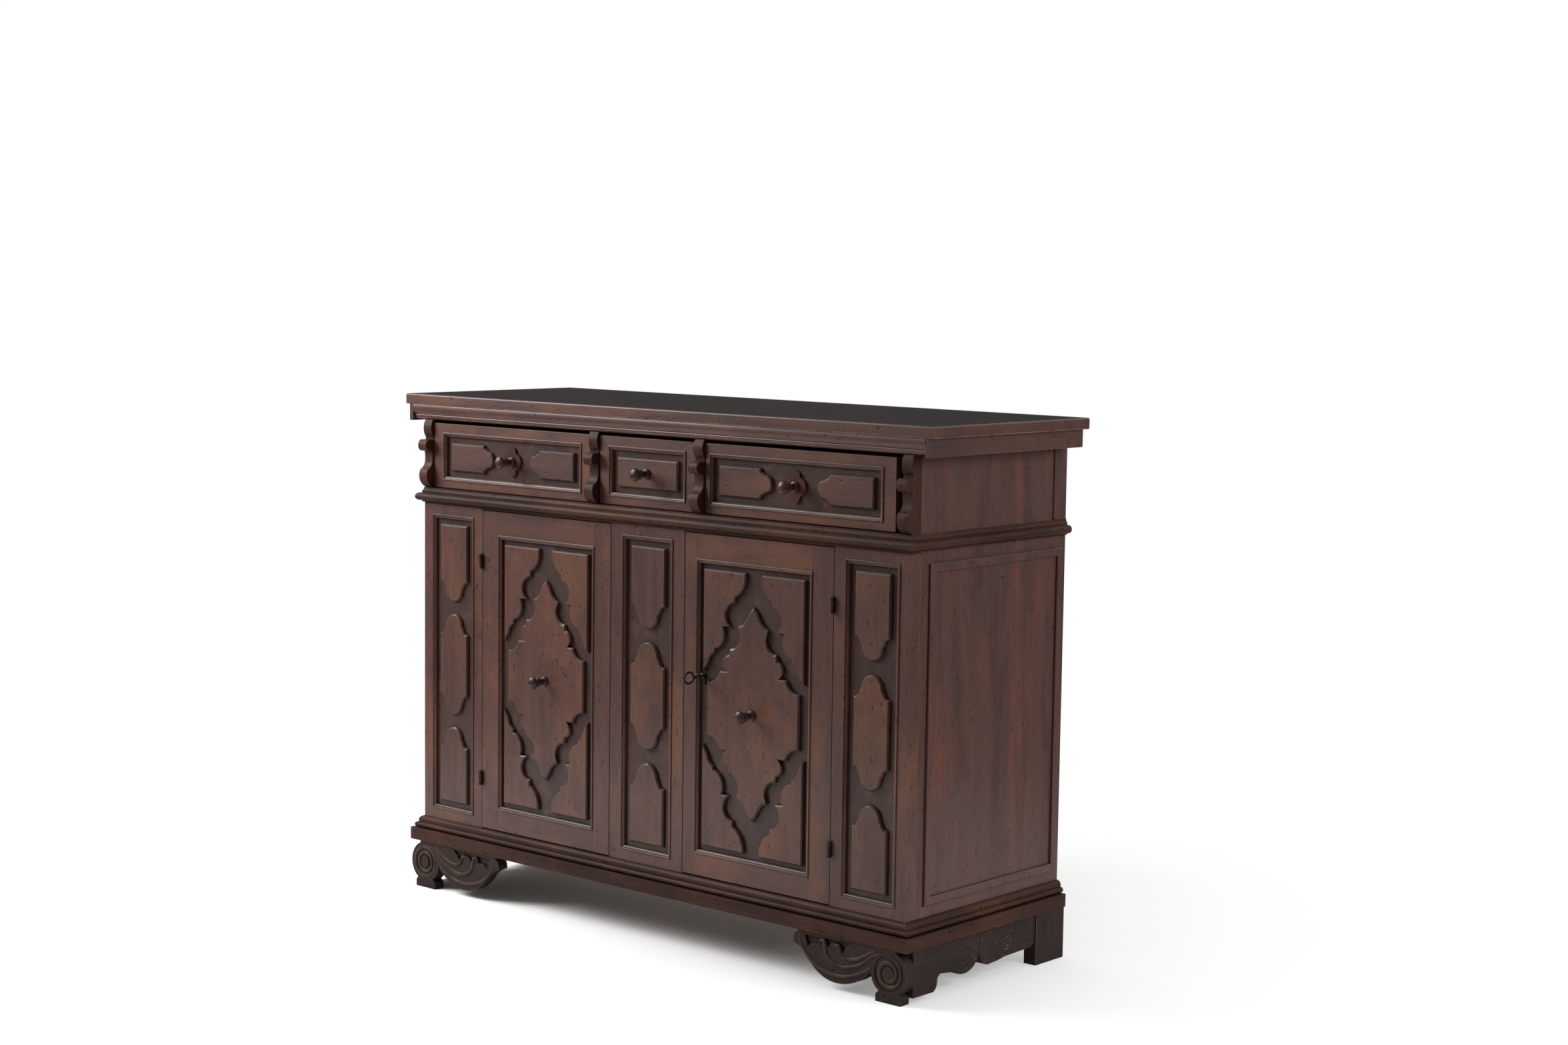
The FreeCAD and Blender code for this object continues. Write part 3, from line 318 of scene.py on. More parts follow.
# Shader graphs
class Wire:
    """A socket that takes part in sums."""

    def __init__(self, graph, socket):
        self.graph = graph
        self.socket = socket

    def sum(self, operation, first, second):
        return self.graph.add("ShaderNodeMath", {"operation": operation}, {0: first, 1: second})

    def __add__(self, other):
        return self.sum("ADD", self, other)

    def __radd__(self, other):
        return self.sum("ADD", other, self)

    def __sub__(self, other):
        return self.sum("SUBTRACT", self, other)

    def __rsub__(self, other):
        return self.sum("SUBTRACT", other, self)

    def __mul__(self, other):
        return self.sum("MULTIPLY", self, other)


class Graph:
    """One material and its nodes."""

    def __init__(self, name):
        self.material = bpy.data.materials.new(name)
        self.material.use_nodes = True
        self.tree = self.material.node_tree
        self.tree.nodes.clear()

    def add(self, kind, settings=None, inputs=None, out=0):
        """A node of the given type, its settings first and then its sockets."""
        node = self.tree.nodes.new(kind)
        for word, value in (settings or {}).items():
            setattr(node, word, value)
        for key, value in (inputs or {}).items():
            self.feed(self.find(node.inputs, key), value)
        return Wire(self, self.find(node.outputs, out))

    def find(self, sockets, key):
        """A socket by its number, its identifier or its name."""
        if isinstance(key, int):
            return sockets[key]
        found = [socket for socket in sockets if key in (socket.identifier, socket.name)]
        if not found:
            raise KeyError(f"no socket {key}")
        return found[0]

    def feed(self, target, value):
        """Links a wire to a socket, or sets the socket's own value."""
        if isinstance(value, Wire):
            self.tree.links.new(value.socket, target)
        elif hasattr(target.default_value, "__len__") and len(target.default_value) == 4:
            target.default_value = (*value, 1.0)
        else:
            target.default_value = value

    def attribute(self, name, out="Fac"):
        return self.add("ShaderNodeAttribute", {"attribute_name": name}, out=out)

    def vector(self, operation, first, second, out="Vector"):
        inputs = {0: first, 1: second}
        return self.add("ShaderNodeVectorMath", {"operation": operation}, inputs, out)

    def bend(self, operation, value):
        """A sum of one value, such as its sine."""
        return self.add("ShaderNodeMath", {"operation": operation}, {0: value})

    def step(self, value, low, high):
        """Rises smoothly from 0 to 1 between two values."""
        inputs = {"Value": value, "From Min": low, "From Max": high}
        return self.add("ShaderNodeMapRange", {"interpolation_type": "SMOOTHSTEP"}, inputs)

    def mix(self, share, first, second):
        settings = {"data_type": "RGBA", "blend_type": "MIX", "clamp_factor": True}
        inputs = {"Factor_Float": share, "A_Color": first, "B_Color": second}
        return self.add("ShaderNodeMix", settings, inputs, "Result_Color")

    def noise(self, place, scale, detail, rough, swirl=0.0):
        inputs = {"Vector": place, "Scale": scale, "Detail": detail, "Roughness": rough,
                  "Distortion": swirl}
        return self.add("ShaderNodeTexNoise", {"noise_dimensions": "3D"}, inputs, "Fac")

    def corners(self, reach):
        """1 in tight corners and 0 on open faces."""
        shade = self.add("ShaderNodeAmbientOcclusion", {"samples": 6}, {"Distance": reach}, "AO")
        return 1 - shade

    def finish(self, shader):
        output = self.tree.nodes.new("ShaderNodeOutputMaterial")
        self.tree.links.new(shader.socket, output.inputs["Surface"])
        return self.material


# Finishes
def surface(graph, base, rough, bump, more):
    """A plain surface with bump, and more sockets of its shader by name."""
    normal = graph.add("ShaderNodeBump", None, {"Height": bump, "Distance": 1.0})
    inputs = {"Base Color": base, "Roughness": rough, "Normal": normal}
    inputs.update(more)
    return graph.finish(graph.add("ShaderNodeBsdfPrincipled", None, inputs))


def stretched(graph, place, along, share):
    """The place squeezed along the grain, so that patterns run with it."""
    squeeze = graph.vector("MULTIPLY_ADD", along, (-share, -share, -share))
    graph.feed(squeeze.socket.node.inputs[2], (1.0, 1.0, 1.0))
    return graph.vector("MULTIPLY", place, squeeze)


def wood(name, tones=None, brightness=1.0, streaks=0.5, dull=0.0, coat=0.35, grime_and_shade=0.85,
         gloss=0.36, banded=False, specks=0.0):
    """Waxed old wood: streaks, fibres, pores, patches, dirt with painted shade in corners,
    punched ground, and worn edges with a painted highlight.

    Its four tones are the middle, the dark, the warm and the cool one.
    """
    graph = Graph(name)
    panel = colours()
    middle, dark, warm, cool = tones or (panel.walnut, panel.heart, panel.ochre, panel.plum)
    dirt_and_shade = panel.dirt_and_shade
    own = graph.add("ShaderNodeTexCoord", out="Object")
    along = graph.attribute("along", "Vector")
    board = graph.attribute("board")
    ground = graph.attribute("ground")
    arris = graph.attribute("arris")
    seam_and_shade = graph.attribute("seam_and_shade")
    place = graph.vector("ADD", own, board)
    slow = stretched(graph, place, along, SLOW_SQUEEZE)
    fine = stretched(graph, place, along, FINE_SQUEEZE)
    figure = graph.noise(slow, *FIGURE)
    fibre = graph.noise(fine, *FIBRE)
    pores = graph.noise(fine, *PORES)
    patch = graph.noise(slow, *BANDS) if banded else graph.noise(place, *PATCH)
    blotch = graph.noise(place, *BLOTCH)
    nicks = graph.noise(stretched(graph, place, along, NICK_SQUEEZE), *NICKS)
    smudge = graph.noise(place, *SMUDGE)

    # Pattern, where it starts, where it is full, its strength and its colour
    washes = (
        (figure, 0.40, 0.68, streaks, dark),
        (patch, 0.48, 0.72, 0.55, warm),
        (blotch, 0.50, 0.76, 0.60, cool),
        (fibre, 0.46, 0.74, 0.30, dark),
        (pores, 0.60, 0.72, 0.28, dirt_and_shade),
        (smudge, 0.54, 0.80, 0.30, dirt_and_shade),
        (nicks, 0.67, 0.75, 0.70, dirt_and_shade),
    )
    wash = middle
    for pattern, start, full, strength, shade in washes:
        wash = graph.mix(graph.step(pattern, start, full) * strength, wash, shade)

    punched = punching(graph, own) * (ground * graph.step(smudge, 0.30, 0.46))
    wash = graph.mix(ground * 0.50, wash, panel.punched)
    wash = graph.mix(punched * 0.80, wash, dirt_and_shade)

    # Dark in tight corners and between parts, found by ambient occlusion: partly wax and dirt,
    # partly painted shade
    corner = graph.corners(sizes().dirt_and_shade_reach)
    corner_grime_and_shade = graph.step(corner * (0.7 + smudge * 0.6), 0.22, 0.86)
    wash = graph.mix(corner_grime_and_shade * grime_and_shade, wash, dirt_and_shade)
    # Paler worn edges: partly bared wood, partly a painted highlight
    wear_and_highlight = arris * graph.step(blotch * 0.5 + smudge * 0.5, 0.36, 0.62)
    wash = graph.mix(wear_and_highlight * (1 - corner_grime_and_shade) * 0.50, wash, panel.worn_and_highlight)
    # Dark joints between rails and stiles, the painted shadow of the doors' gaps, painted shade
    # on carved slopes and darker ledges
    wash = graph.mix(seam_and_shade * 0.9, wash, dirt_and_shade)
    if specks:
        flecks = graph.step(graph.noise(own, *FLECKS), 0.72, 0.75)
        dusty = graph.step(patch, 0.44, 0.60)
        wash = graph.mix(flecks * dusty * specks, wash, tint(160, 154, 147))
    if brightness != 1.0:
        wash = graph.vector("MULTIPLY", wash, (brightness, brightness, brightness))

    rough = 0.40 + dull + fibre * 0.16 + ground * 0.20 + corner_grime_and_shade * 0.18 + seam_and_shade * 0.30 - arris * 0.10
    waves = graph.noise(stretched(graph, place, along, WAVE_SQUEEZE), *WAVES)
    dips = waves * WAVE_DEPTH + fibre * FIBRE_DEPTH - punched * PUNCH_DEPTH
    dips = dips - graph.step(pores, 0.60, 0.72) * PORE_DEPTH - seam_and_shade * SEAM_DEPTH
    dips = dips - graph.step(nicks, 0.68, 0.78) * NICK_DEPTH
    more = {"IOR": 1.45, "Specular IOR Level": gloss, "Coat Weight": coat, "Coat Roughness": 0.16}
    return surface(graph, wash, rough, dips, more)


def punching(graph, own):
    """Slanting rows of small dots that mirror at the piece's middle line."""
    spot = graph.add("ShaderNodeSeparateXYZ", None, {"Vector": own}, "X")
    height = Wire(graph, spot.socket.node.outputs["Z"])
    across = graph.bend("ABSOLUTE", spot - graph.attribute("middle"))
    turns = math.tau / sizes().punch
    rows = graph.bend("SINE", (across + height) * turns)
    dots = graph.bend("SINE", (across - height) * (turns * 1.7))
    return graph.step(rows * 0.75 + dots * 0.55, -0.2, 0.75)


def walnut():
    """The top's edge, the cornice, the pilasters, the doors and the drawers' fronts."""
    return wood("walnut")


def side_walnut():
    """The side boards, in broad bands along the grain."""
    tones = tint(88, 56, 49), tint(56, 37, 35), tint(120, 66, 46), tint(74, 60, 60)
    return wood("side walnut", tones, streaks=0.65, dull=0.03, coat=0.4, banded=True)


def dusty_walnut():
    """The side brackets, dark like the feet and specked with dust."""
    return foot_walnut("dusty walnut", 0.8)


def foot_walnut(name="foot walnut", specks=0.0):
    """The feet and the back legs, dark and hardly waxed."""
    tones = tint(52, 41, 37), tint(31, 25, 23), tint(63, 46, 39), tint(41, 35, 33)
    return wood(name, tones, dull=0.12, coat=0.06, gloss=0.14, specks=specks)


def base_walnut():
    """The waist and base mouldings and the corbels, darker and hardly waxed."""
    return wood("base walnut", brightness=0.60, streaks=0.6, dull=0.14, coat=0.05, gloss=0.14)


def turned_walnut():
    """The knobs and pulls, redder and smoother."""
    tones = tint(62, 34, 27), tint(30, 18, 15), tint(96, 50, 34), tint(46, 28, 25)
    return wood("turned walnut", tones, streaks=0.6, dull=-0.06, coat=0.3, grime_and_shade=0.7, gloss=0.22)


def cover_walnut():
    """The top board's face, almost black and dull."""
    tones = tuple(colours().cover), tint(12, 10, 10), tint(40, 32, 29), tint(30, 26, 27)
    return wood("top board", tones, streaks=0.6, dull=0.34, coat=0.0, grime_and_shade=0.4, gloss=0.08)


def inner_boards():
    """Plain boards inside and behind, never waxed."""
    tones = tuple(colours().inner), tint(84, 62, 48), tint(140, 106, 76), tint(100, 80, 66)
    return wood("inner boards", tones, streaks=0.7, dull=0.28, coat=0.0)


def worn_iron():
    """Old forged iron: dark, pitted and rusty in patches."""
    graph = Graph("worn iron")
    own = graph.add("ShaderNodeTexCoord", out="Object")
    patch = graph.noise(own, *RUST)
    pits = graph.noise(own, *PITS)
    rusty = graph.step(patch, 0.48, 0.66)
    wash = graph.mix(rusty * 0.8, colours().iron, colours().rust)
    # Dark in the iron's tight corners: partly dirt, partly painted shade
    wash = graph.mix(graph.corners(IRON_DIRT_AND_SHADE_REACH) * 0.7, wash, colours().dirt_and_shade)
    wash = graph.mix(graph.attribute("arris") * 0.5, wash, tint(120, 108, 100))
    rough = 0.38 + rusty * 0.28 + pits * 0.12
    bump = pits * PIT_DEPTH + patch * RUST_DEPTH
    return surface(graph, wash, rough, bump, {"Metallic": 0.9 - rusty * 0.55})


FINISHES = {}


def finish(maker):
    """The finish of the given maker, made once."""
    if maker.__name__ not in FINISHES:
        FINISHES[maker.__name__] = maker()
    return FINISHES[maker.__name__]


# Mesh work
def opened(node):
    """A node's mesh with its doubles merged and its flat faces made whole."""
    shape = bmesh.new()
    shape.from_mesh(frame["nodes"][node].data)
    bmesh.ops.remove_doubles(shape, verts=shape.verts, dist=WELD)
    bmesh.ops.dissolve_limit(shape, angle_limit=FLAT_ANGLE, verts=shape.verts, edges=shape.edges)
    layered(shape)
    return shape


def layered(shape):
    """Gives a shape's faces the values that the finishes read."""
    shape.faces.layers.float_vector.new("along")
    for word in ("board", "arris", "ground", "seam_and_shade", "middle"):
        shape.faces.layers.float.new(word)


def paint(shape, word, value, test=None):
    """Sets one value on the faces that pass the test."""
    store = shape.faces.layers.float_vector if word == "along" else shape.faces.layers.float
    layer = store[word]
    for face in shape.faces:
        if test is None or test(face):
            face[layer] = value


def board_number(name):
    """A place in the grain that differs from board to board."""
    return (sum(map(ord, name)) * 7 % 89) / 9.0


def mark(shape, name, along):
    """Gives a shape its grain direction and its own place in the grain."""
    paint(shape, "along", along)
    paint(shape, "board", board_number(name))


def cut(shape, place, direction, **cleared):
    """Cuts the faces at a plane; clear_inner or clear_outer drops what is on one side."""
    bmesh.ops.bisect_plane(shape, geom=shape.verts[:] + shape.edges[:] + shape.faces[:],
                           dist=WELD, plane_co=place, plane_no=direction, **cleared)


def cap(shape):
    """Closes what a cut left open."""
    bmesh.ops.holes_fill(shape, edges=[edge for edge in shape.edges if edge.is_boundary])


def join(shape, other):
    """Moves another mesh into a shape."""
    mesh = bpy.data.meshes.new("joined")
    other.to_mesh(mesh)
    other.free()
    shape.from_mesh(mesh)
    bpy.data.meshes.remove(mesh)


def ease(shape, width):
    """Rounds the sharp outer edges and marks them for a paler edge colour: worn wood and iron,
    and on the wood partly a painted highlight.
    """
    bend = sizes().crease
    sharp = [edge for edge in shape.edges if len(edge.link_faces) == 2 and edge.is_convex
             and edge.calc_face_angle(0) > bend]
    if sharp and width > 0:
        made = bmesh.ops.bevel(shape, geom=sharp, offset=width, offset_type="OFFSET",
                               affect="EDGES", segments=2, profile=0.5, material=-1,
                               clamp_overlap=True, loop_slide=True)
        layer = shape.faces.layers.float["arris"]
        for face in made["faces"]:
            face[layer] = 1.0


def soft_shading(shape):
    """Smooth faces, but sharp inner corners."""
    for face in shape.faces:
        face.smooth = True
    for edge in shape.edges:
        quirk = not edge.is_convex and edge.calc_face_angle(0) > QUIRK_ANGLE
        if len(edge.link_faces) != 2 or quirk:
            edge.smooth = False


def ground_at(shape, level, middle):
    """Marks the sunk ground at a depth and the line that its punching mirrors at."""
    paint(shape, "ground", 1.0, lambda face: face.normal.y < -GROUND_FACING
          and abs(face.calc_center_median().y - level) < LEVEL_SLACK)
    paint(shape, "middle", middle)
    dull_ledges(shape)


def dull_ledges(shape):
    """Darkens and dulls the mouldings' slopes that look up."""
    low, high = LEDGE_FACING
    paint(shape, "seam_and_shade", LEDGE_DARKENING, lambda face: low < face.normal.z < high)


def darken_slopes(shape):
    """Paints shade on the sloping sides of raised carving and dulls them."""
    paint(shape, "seam_and_shade", SLOPE_SHADE, lambda face: face.normal.y > -CARVED_FACING)


def placed(name, shape, body, maker, nodes=()):
    """Makes the piece, hangs it on its body and hides the nodes it stands for."""
    mesh = bpy.data.meshes.new(name)
    shape.to_mesh(mesh)
    shape.free()
    piece = bpy.data.objects.new(name, mesh)
    bpy.context.scene.collection.objects.link(piece)
    mesh.materials.append(finish(maker))
    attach(piece, body)
    if nodes:
        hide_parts(*nodes)
    weights = piece.modifiers.new("Even shading", "WEIGHTED_NORMAL")
    weights.keep_sharp = True
    return piece


def middle_of(node):
    low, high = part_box(node)
    return (low.x + high.x) / 2


def dressed(node, along, maker, width=None, extra=None, ending="wood", rim=None):
    """A worn copy of one node, in its own finish."""
    shape = opened(node)
    mark(shape, node, along)
    if extra:
        extra(shape)
    if rim:
        for place in rim:
            cut(shape, (place, 0, 0), ALONG_X)
    ease(shape, sizes().arris if width is None else width)
    if rim:
        middle = middle_of(node)
        outer = abs(rim[0] - middle)

        def at_rim(face):
            return abs(face.calc_center_median().x - middle) > outer

        # A painted shadow of the gap along the outer edges, in place of the worn edge
        paint(shape, "arris", 0.0, at_rim)
        paint(shape, "seam_and_shade", RIM_SHADE, at_rim)
    soft_shading(shape)
    body = frame["nodes"][node]["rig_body"]
    return placed(f"{node}_{ending}", shape, body, maker, (node,))


def rim_of(node):
    """The two lines beside which a piece's outer edges get a painted shadow of the gap."""
    low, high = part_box(node)
    return low.x + RIM_WIDE, high.x - RIM_WIDE


def full_turn(shape, axis, steps):
    """Spins a line once round and puts the new edges and faces in the same order each run."""
    bmesh.ops.spin(shape, geom=shape.verts[:] + shape.edges[:], cent=(0, 0, 0), axis=axis,
                   angle=math.tau, steps=steps, use_merge=True)
    bmesh.ops.remove_doubles(shape, verts=shape.verts, dist=WELD)
    shape.verts.index_update()
    count = len(shape.verts)

    def rank(element):
        numbers = [vert.index for vert in element.verts]
        return min(numbers) * count + max(numbers)

    shape.edges.sort(key=rank)
    shape.faces.sort(key=rank)


def spun(line, seat, long, radius, steps=KNOB_STEPS):
    """A turned piece that stands out from the seat towards the front."""
    shape = bmesh.new()
    verts = [shape.verts.new((share * radius, 0, -along * long)) for along, share in line]
    for pair in zip(verts, verts[1:]):
        shape.edges.new(pair)
    full_turn(shape, ALONG_Z, steps)
    base = [vert for vert in shape.verts if abs(vert.co.z) < WELD]
    rim = [edge for edge in shape.edges if all(vert in base for vert in edge.verts)]
    bmesh.ops.contextual_create(shape, geom=rim)
    turn = Matrix.Translation(seat) @ Matrix.Rotation(-QUARTER, 4, "X")
    bmesh.ops.transform(shape, matrix=turn, verts=shape.verts)
    bmesh.ops.recalc_face_normals(shape, faces=shape.faces)
    return shape


def curved(line, steps):
    """A smooth line through the given points."""
    ends = [line[0]] + list(line) + [line[-1]]
    smooth = []
    for before, here, there, after in zip(ends, ends[1:], ends[2:], ends[3:]):
        for index in range(steps):
            t = index / steps
            smooth.append(tuple(
                0.5 * (2 * b + (c - a) * t + (2 * a - 5 * b + 4 * c - d) * t * t
                       + (3 * b - a - 3 * c + d) * t ** 3)
                for a, b, c, d in zip(before, here, there, after)))
    smooth.append(tuple(line[-1]))
    return smooth


def ridge(shape, path, tip=RIDGE_TIP):
    """A rounded ridge that follows a path of places and thins towards its ends."""
    curve = bpy.data.curves.new("ridge", "CURVE")
    curve.dimensions = "3D"
    curve.bevel_depth = RIDGE_THICK
    curve.bevel_resolution = 2
    curve.use_fill_caps = True
    spline = curve.splines.new("POLY")
    spline.points.add(len(path) - 1)
    last = len(path) - 1
    for index, (point, place) in enumerate(zip(spline.points, path)):
        point.co = (*place, 1.0)
        edge = min(index, last - index) / max(last * RIDGE_FADE, 1)
        point.radius = tip + (1 - tip) * min(edge, 1.0)
    holder = bpy.data.objects.new("ridge", curve)
    mesh = bpy.data.meshes.new_from_object(holder)
    shape.from_mesh(mesh)
    bpy.data.objects.remove(holder)
    bpy.data.curves.remove(curve)
    bpy.data.meshes.remove(mesh)


# Operators and what each needs
class CredenzaPiece:
    """What the operators share."""
    bl_options = {"REGISTER", "UNDO"}


class CREDENZA_OT_boards(CredenzaPiece, bpy.types.Operator):
    """Adds the back, bottom and dust boards and the drawer partitions"""
    bl_idname = "credenza.boards"
    bl_label = "Inner Boards"

    def execute(self, context):
        dressed("back_boards", ALONG_Z, inner_boards, extra=number_boards)
        dressed("bottom_board", ALONG_X, inner_boards)
        dressed("dust_board", ALONG_X, inner_boards)
        for name in SIDES:
            dressed(f"drawer_partition_{name}", ALONG_Y, inner_boards)
        return {"FINISHED"}


def number_boards(shape):
    """Gives each loose board of a node its own place in the grain."""
    low = min(vert.co.x for vert in shape.verts)
    high = max(vert.co.x for vert in shape.verts)
    wide = (high - low) / BACK_BOARDS
    for index in range(BACK_BOARDS):
        start = low + index * wide
        paint(shape, "board", board_number(f"back board {index}"),
              lambda face: start <= face.calc_center_median().x < start + wide)


class CREDENZA_OT_top(CredenzaPiece, bpy.types.Operator):
    """Adds the top board and the cornice under it"""
    bl_idname = "credenza.top"
    bl_label = "Top and Cornice"

    def execute(self, context):
        slab = dressed("top_slab", ALONG_X, walnut, width=SLAB_EDGE)
        # A stronger worn edge on the top board: partly bared wood, partly a painted highlight
        for item in slab.data.attributes["arris"].data:
            item.value *= SLAB_WEAR_AND_HIGHLIGHT
        slab.data.materials.append(finish(cover_walnut))
        for face in slab.data.polygons:
            if face.normal.z > TOP_FACING:
                face.material_index = 1
        dressed("cornice_front", ALONG_X, walnut, extra=step_back)
        for name in SIDES:
            dressed(f"cornice_side_{name}", ALONG_Y, walnut, extra=step_back)
        return {"FINISHED"}


def step_back(shape):
    """Sets the cornice's ends and its back in from the top board's edge."""
    low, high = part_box("top_slab")
    for vert in shape.verts:
        if abs(vert.co.x) > high.x - CORNICE_STEP:
            vert.co.x = math.copysign(high.x - CORNICE_STEP, vert.co.x)
        vert.co.y = min(vert.co.y, high.y - CORNICE_STEP)


class CREDENZA_OT_mouldings(CredenzaPiece, bpy.types.Operator):
    """Adds the waist and base mouldings"""
    bl_idname = "credenza.mouldings"
    bl_label = "Mouldings"

    def execute(self, context):
        dressed("waist_rail", ALONG_X, base_walnut)
        pegs()
        dressed("base_rail", ALONG_X, base_walnut)
        for name in SIDES:
            dressed(f"waist_side_{name}", ALONG_Y, base_walnut)
            dressed(f"base_side_{name}", ALONG_Y, base_walnut)
        return {"FINISHED"}


def pegs():
    """Iron peg heads in the waist moulding, near its ends."""
    shape = bmesh.new()
    layered(shape)
    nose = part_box("waist_rail")[0].y
    for place in PEG_PLACES:
        seat = Vector((place * MM, nose + PEG_PROUD / 2, PEG_LEVEL))
        join(shape, spun(PEG_LINE, seat, PEG_PROUD, PEG_RADIUS, PEG_STEPS))
    mark(shape, "pegs", ALONG_Y)
    soft_shading(shape)
    placed("waist_pegs", shape, "case", worn_iron)


class CREDENZA_OT_sides(CredenzaPiece, bpy.types.Operator):
    """Adds the side boards and their applied mouldings"""
    bl_idname = "credenza.sides"
    bl_label = "Sides"

    def execute(self, context):
        for name in SIDES:
            dressed(f"side_board_{name}", ALONG_Z, side_walnut)
            dressed(f"side_moulding_{name}", ALONG_Z, side_walnut,
                    extra=lambda shape: lay_bars(shape, name))
        return {"FINISHED"}


def lay_bars(shape, name):
    """Turns the grain of a side moulding's top and bottom bars."""
    low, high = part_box(f"side_moulding_{name}")
    start, end = low.z + SIDE_BAR, high.z - SIDE_BAR
    paint(shape, "along", ALONG_Y, lambda face: not start < face.calc_center_median().z < end)


class CREDENZA_OT_pilasters(CredenzaPiece, bpy.types.Operator):
    """Adds the three pilasters with their lobed plaques"""
    bl_idname = "credenza.pilasters"
    bl_label = "Pilasters"

    def execute(self, context):
        for name in ("left", "centre", "right"):
            middle = middle_of(f"pilaster_{name}")
            dressed(f"pilaster_{name}", ALONG_Z, walnut, width=sizes().fine_arris,
                    extra=lambda shape: ground_at(shape, GROUND, middle),
                    rim=rim_of(f"pilaster_{name}") if name == "centre" else None)
            dressed(f"pilaster_plaques_{name}", ALONG_Z, walnut, width=sizes().fine_arris,
                    extra=darken_slopes)
        return {"FINISHED"}


class CREDENZA_OT_corbels(CredenzaPiece, bpy.types.Operator):
    """Adds the four sawn corbels beside the drawers"""
    bl_idname = "credenza.corbels"
    bl_label = "Corbels"

    def execute(self, context):
        for place in ("outer", "inner"):
            for name in SIDES:
                dressed(f"corbel_{place}_{name}", ALONG_Z, base_walnut)
        return {"FINISHED"}


class CREDENZA_OT_doors(CredenzaPiece, bpy.types.Operator):
    """Adds both doors with their sunk panels and cusped carving"""
    bl_idname = "credenza.doors"
    bl_label = "Doors"

    def execute(self, context):
        for name in SIDES:
            dressed(f"door_frame_{name}", ALONG_Z, walnut, width=sizes().fine_arris,
                    extra=lambda shape: lay_rails(shape, name), rim=rim_of(f"door_frame_{name}"))
            middle = middle_of(f"door_tracery_{name}")
            dressed(f"door_panel_{name}", ALONG_Z, walnut, width=sizes().fine_arris,
                    extra=lambda shape: ground_at(shape, GROUND, middle))
            dressed(f"door_tracery_{name}", ALONG_Z, walnut, width=sizes().fine_arris,
                    extra=darken_slopes)
            turned(f"door_knob_{name}")
        return {"FINISHED"}


def lay_rails(shape, name):
    """Turns the grain of a door's rails and cuts the fine joints beside its stiles."""
    dull_ledges(shape)
    lines = STILE_LINES[name]
    for line in lines:
        for side in (-SEAM_HALF, SEAM_HALF):
            cut(shape, (line + side, 0, 0), ALONG_X)
    for level in RAIL_LEVELS:
        cut(shape, (0, 0, level), ALONG_Z)

    def in_rail(face):
        place = face.calc_center_median()
        return lines[0] < place.x < lines[1] and not RAIL_LEVELS[0] < place.z < RAIL_LEVELS[1]

    def in_joint(face):
        place = face.calc_center_median()
        near = min(abs(place.x - line) for line in lines)
        beside_rail = not SEAM_LEVELS[0] < place.z < SEAM_LEVELS[1]
        return face.normal.y < -JOINT_FACING and near < SEAM_HALF / 2 and beside_rail

    paint(shape, "along", ALONG_X, in_rail)
    paint(shape, "board", board_number(f"rails {name}"), in_rail)
    paint(shape, "seam_and_shade", 1.0, in_joint)


def seat_of(node):
    """Where a turned knob stands: the middle of its node, on its back face."""
    low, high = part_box(node)
    return Vector((middle_of(node), high.y, (low.z + high.z) / 2))


def turned(node, plate_thick=0.0):
    """A smooth turned knob in place of a node, with any plate kept from the node."""
    seat = seat_of(node) - Vector((0, plate_thick, 0))
    shape = spun(curved(KNOB_LINE, LINE_STEPS), seat, KNOB_LONG, KNOB_HEAD)
    layered(shape)
    if plate_thick:
        plate = opened(node)
        cut(plate, seat - Vector((0, SEAT_SUNK, 0)), -ALONG_Y, clear_outer=True)
        cap(plate)
        ease(plate, sizes().fine_arris)
        join(shape, plate)
    mark(shape, node, ALONG_Y)
    soft_shading(shape)
    body = frame["nodes"][node]["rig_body"]
    placed(f"{node}_turned", shape, body, turned_walnut, (node,))


class CREDENZA_OT_drawers(CredenzaPiece, bpy.types.Operator):
    """Adds the three drawers: fronts, plaques, boxes and turned pulls"""
    bl_idname = "credenza.drawers"
    bl_label = "Drawers"

    def execute(self, context):
        for name in ("left", "middle", "right"):
            middle = middle_of(f"drawer_pull_{name}")
            dressed(f"drawer_front_{name}", ALONG_X, walnut, width=sizes().fine_arris,
                    extra=lambda shape: ground_at(shape, DRAWER_GROUND, middle))
            dressed(f"drawer_box_{name}", ALONG_Y, inner_boards)
            turned(f"drawer_pull_{name}", 0.0 if name == "middle" else PLATE_THICK)
            if name != "middle":
                dressed(f"drawer_plaques_{name}", ALONG_X, walnut, width=sizes().fine_arris,
                        extra=darken_slopes)
        return {"FINISHED"}


def key():
    """The key: an oval bow, a ringed shank and the bit kept from the node."""
    low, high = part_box("key")
    middle = Vector((middle_of("key"), FRONT, high.z - BOW_TALL))
    inside = opened("key")
    cut(inside, (0, FRONT + KEY_CUT, 0), ALONG_Y, clear_inner=True)
    cap(inside)
    seat = middle + Vector((0, KEY_CUT * 2, 0))
    line = curved(KEY_LINE, LINE_STEPS)
    shape = spun(line, seat, KEY_NECK + KEY_CUT, SHANK_RADIUS, KEY_STEPS)
    layered(shape)
    join(shape, inside)
    join(shape, bow(Vector((middle.x, low.y + BOW_LONG, middle.z))))
    mark(shape, "key", ALONG_Y)
    soft_shading(shape)
    placed("key_iron", shape, "key", worn_iron, ("key",))


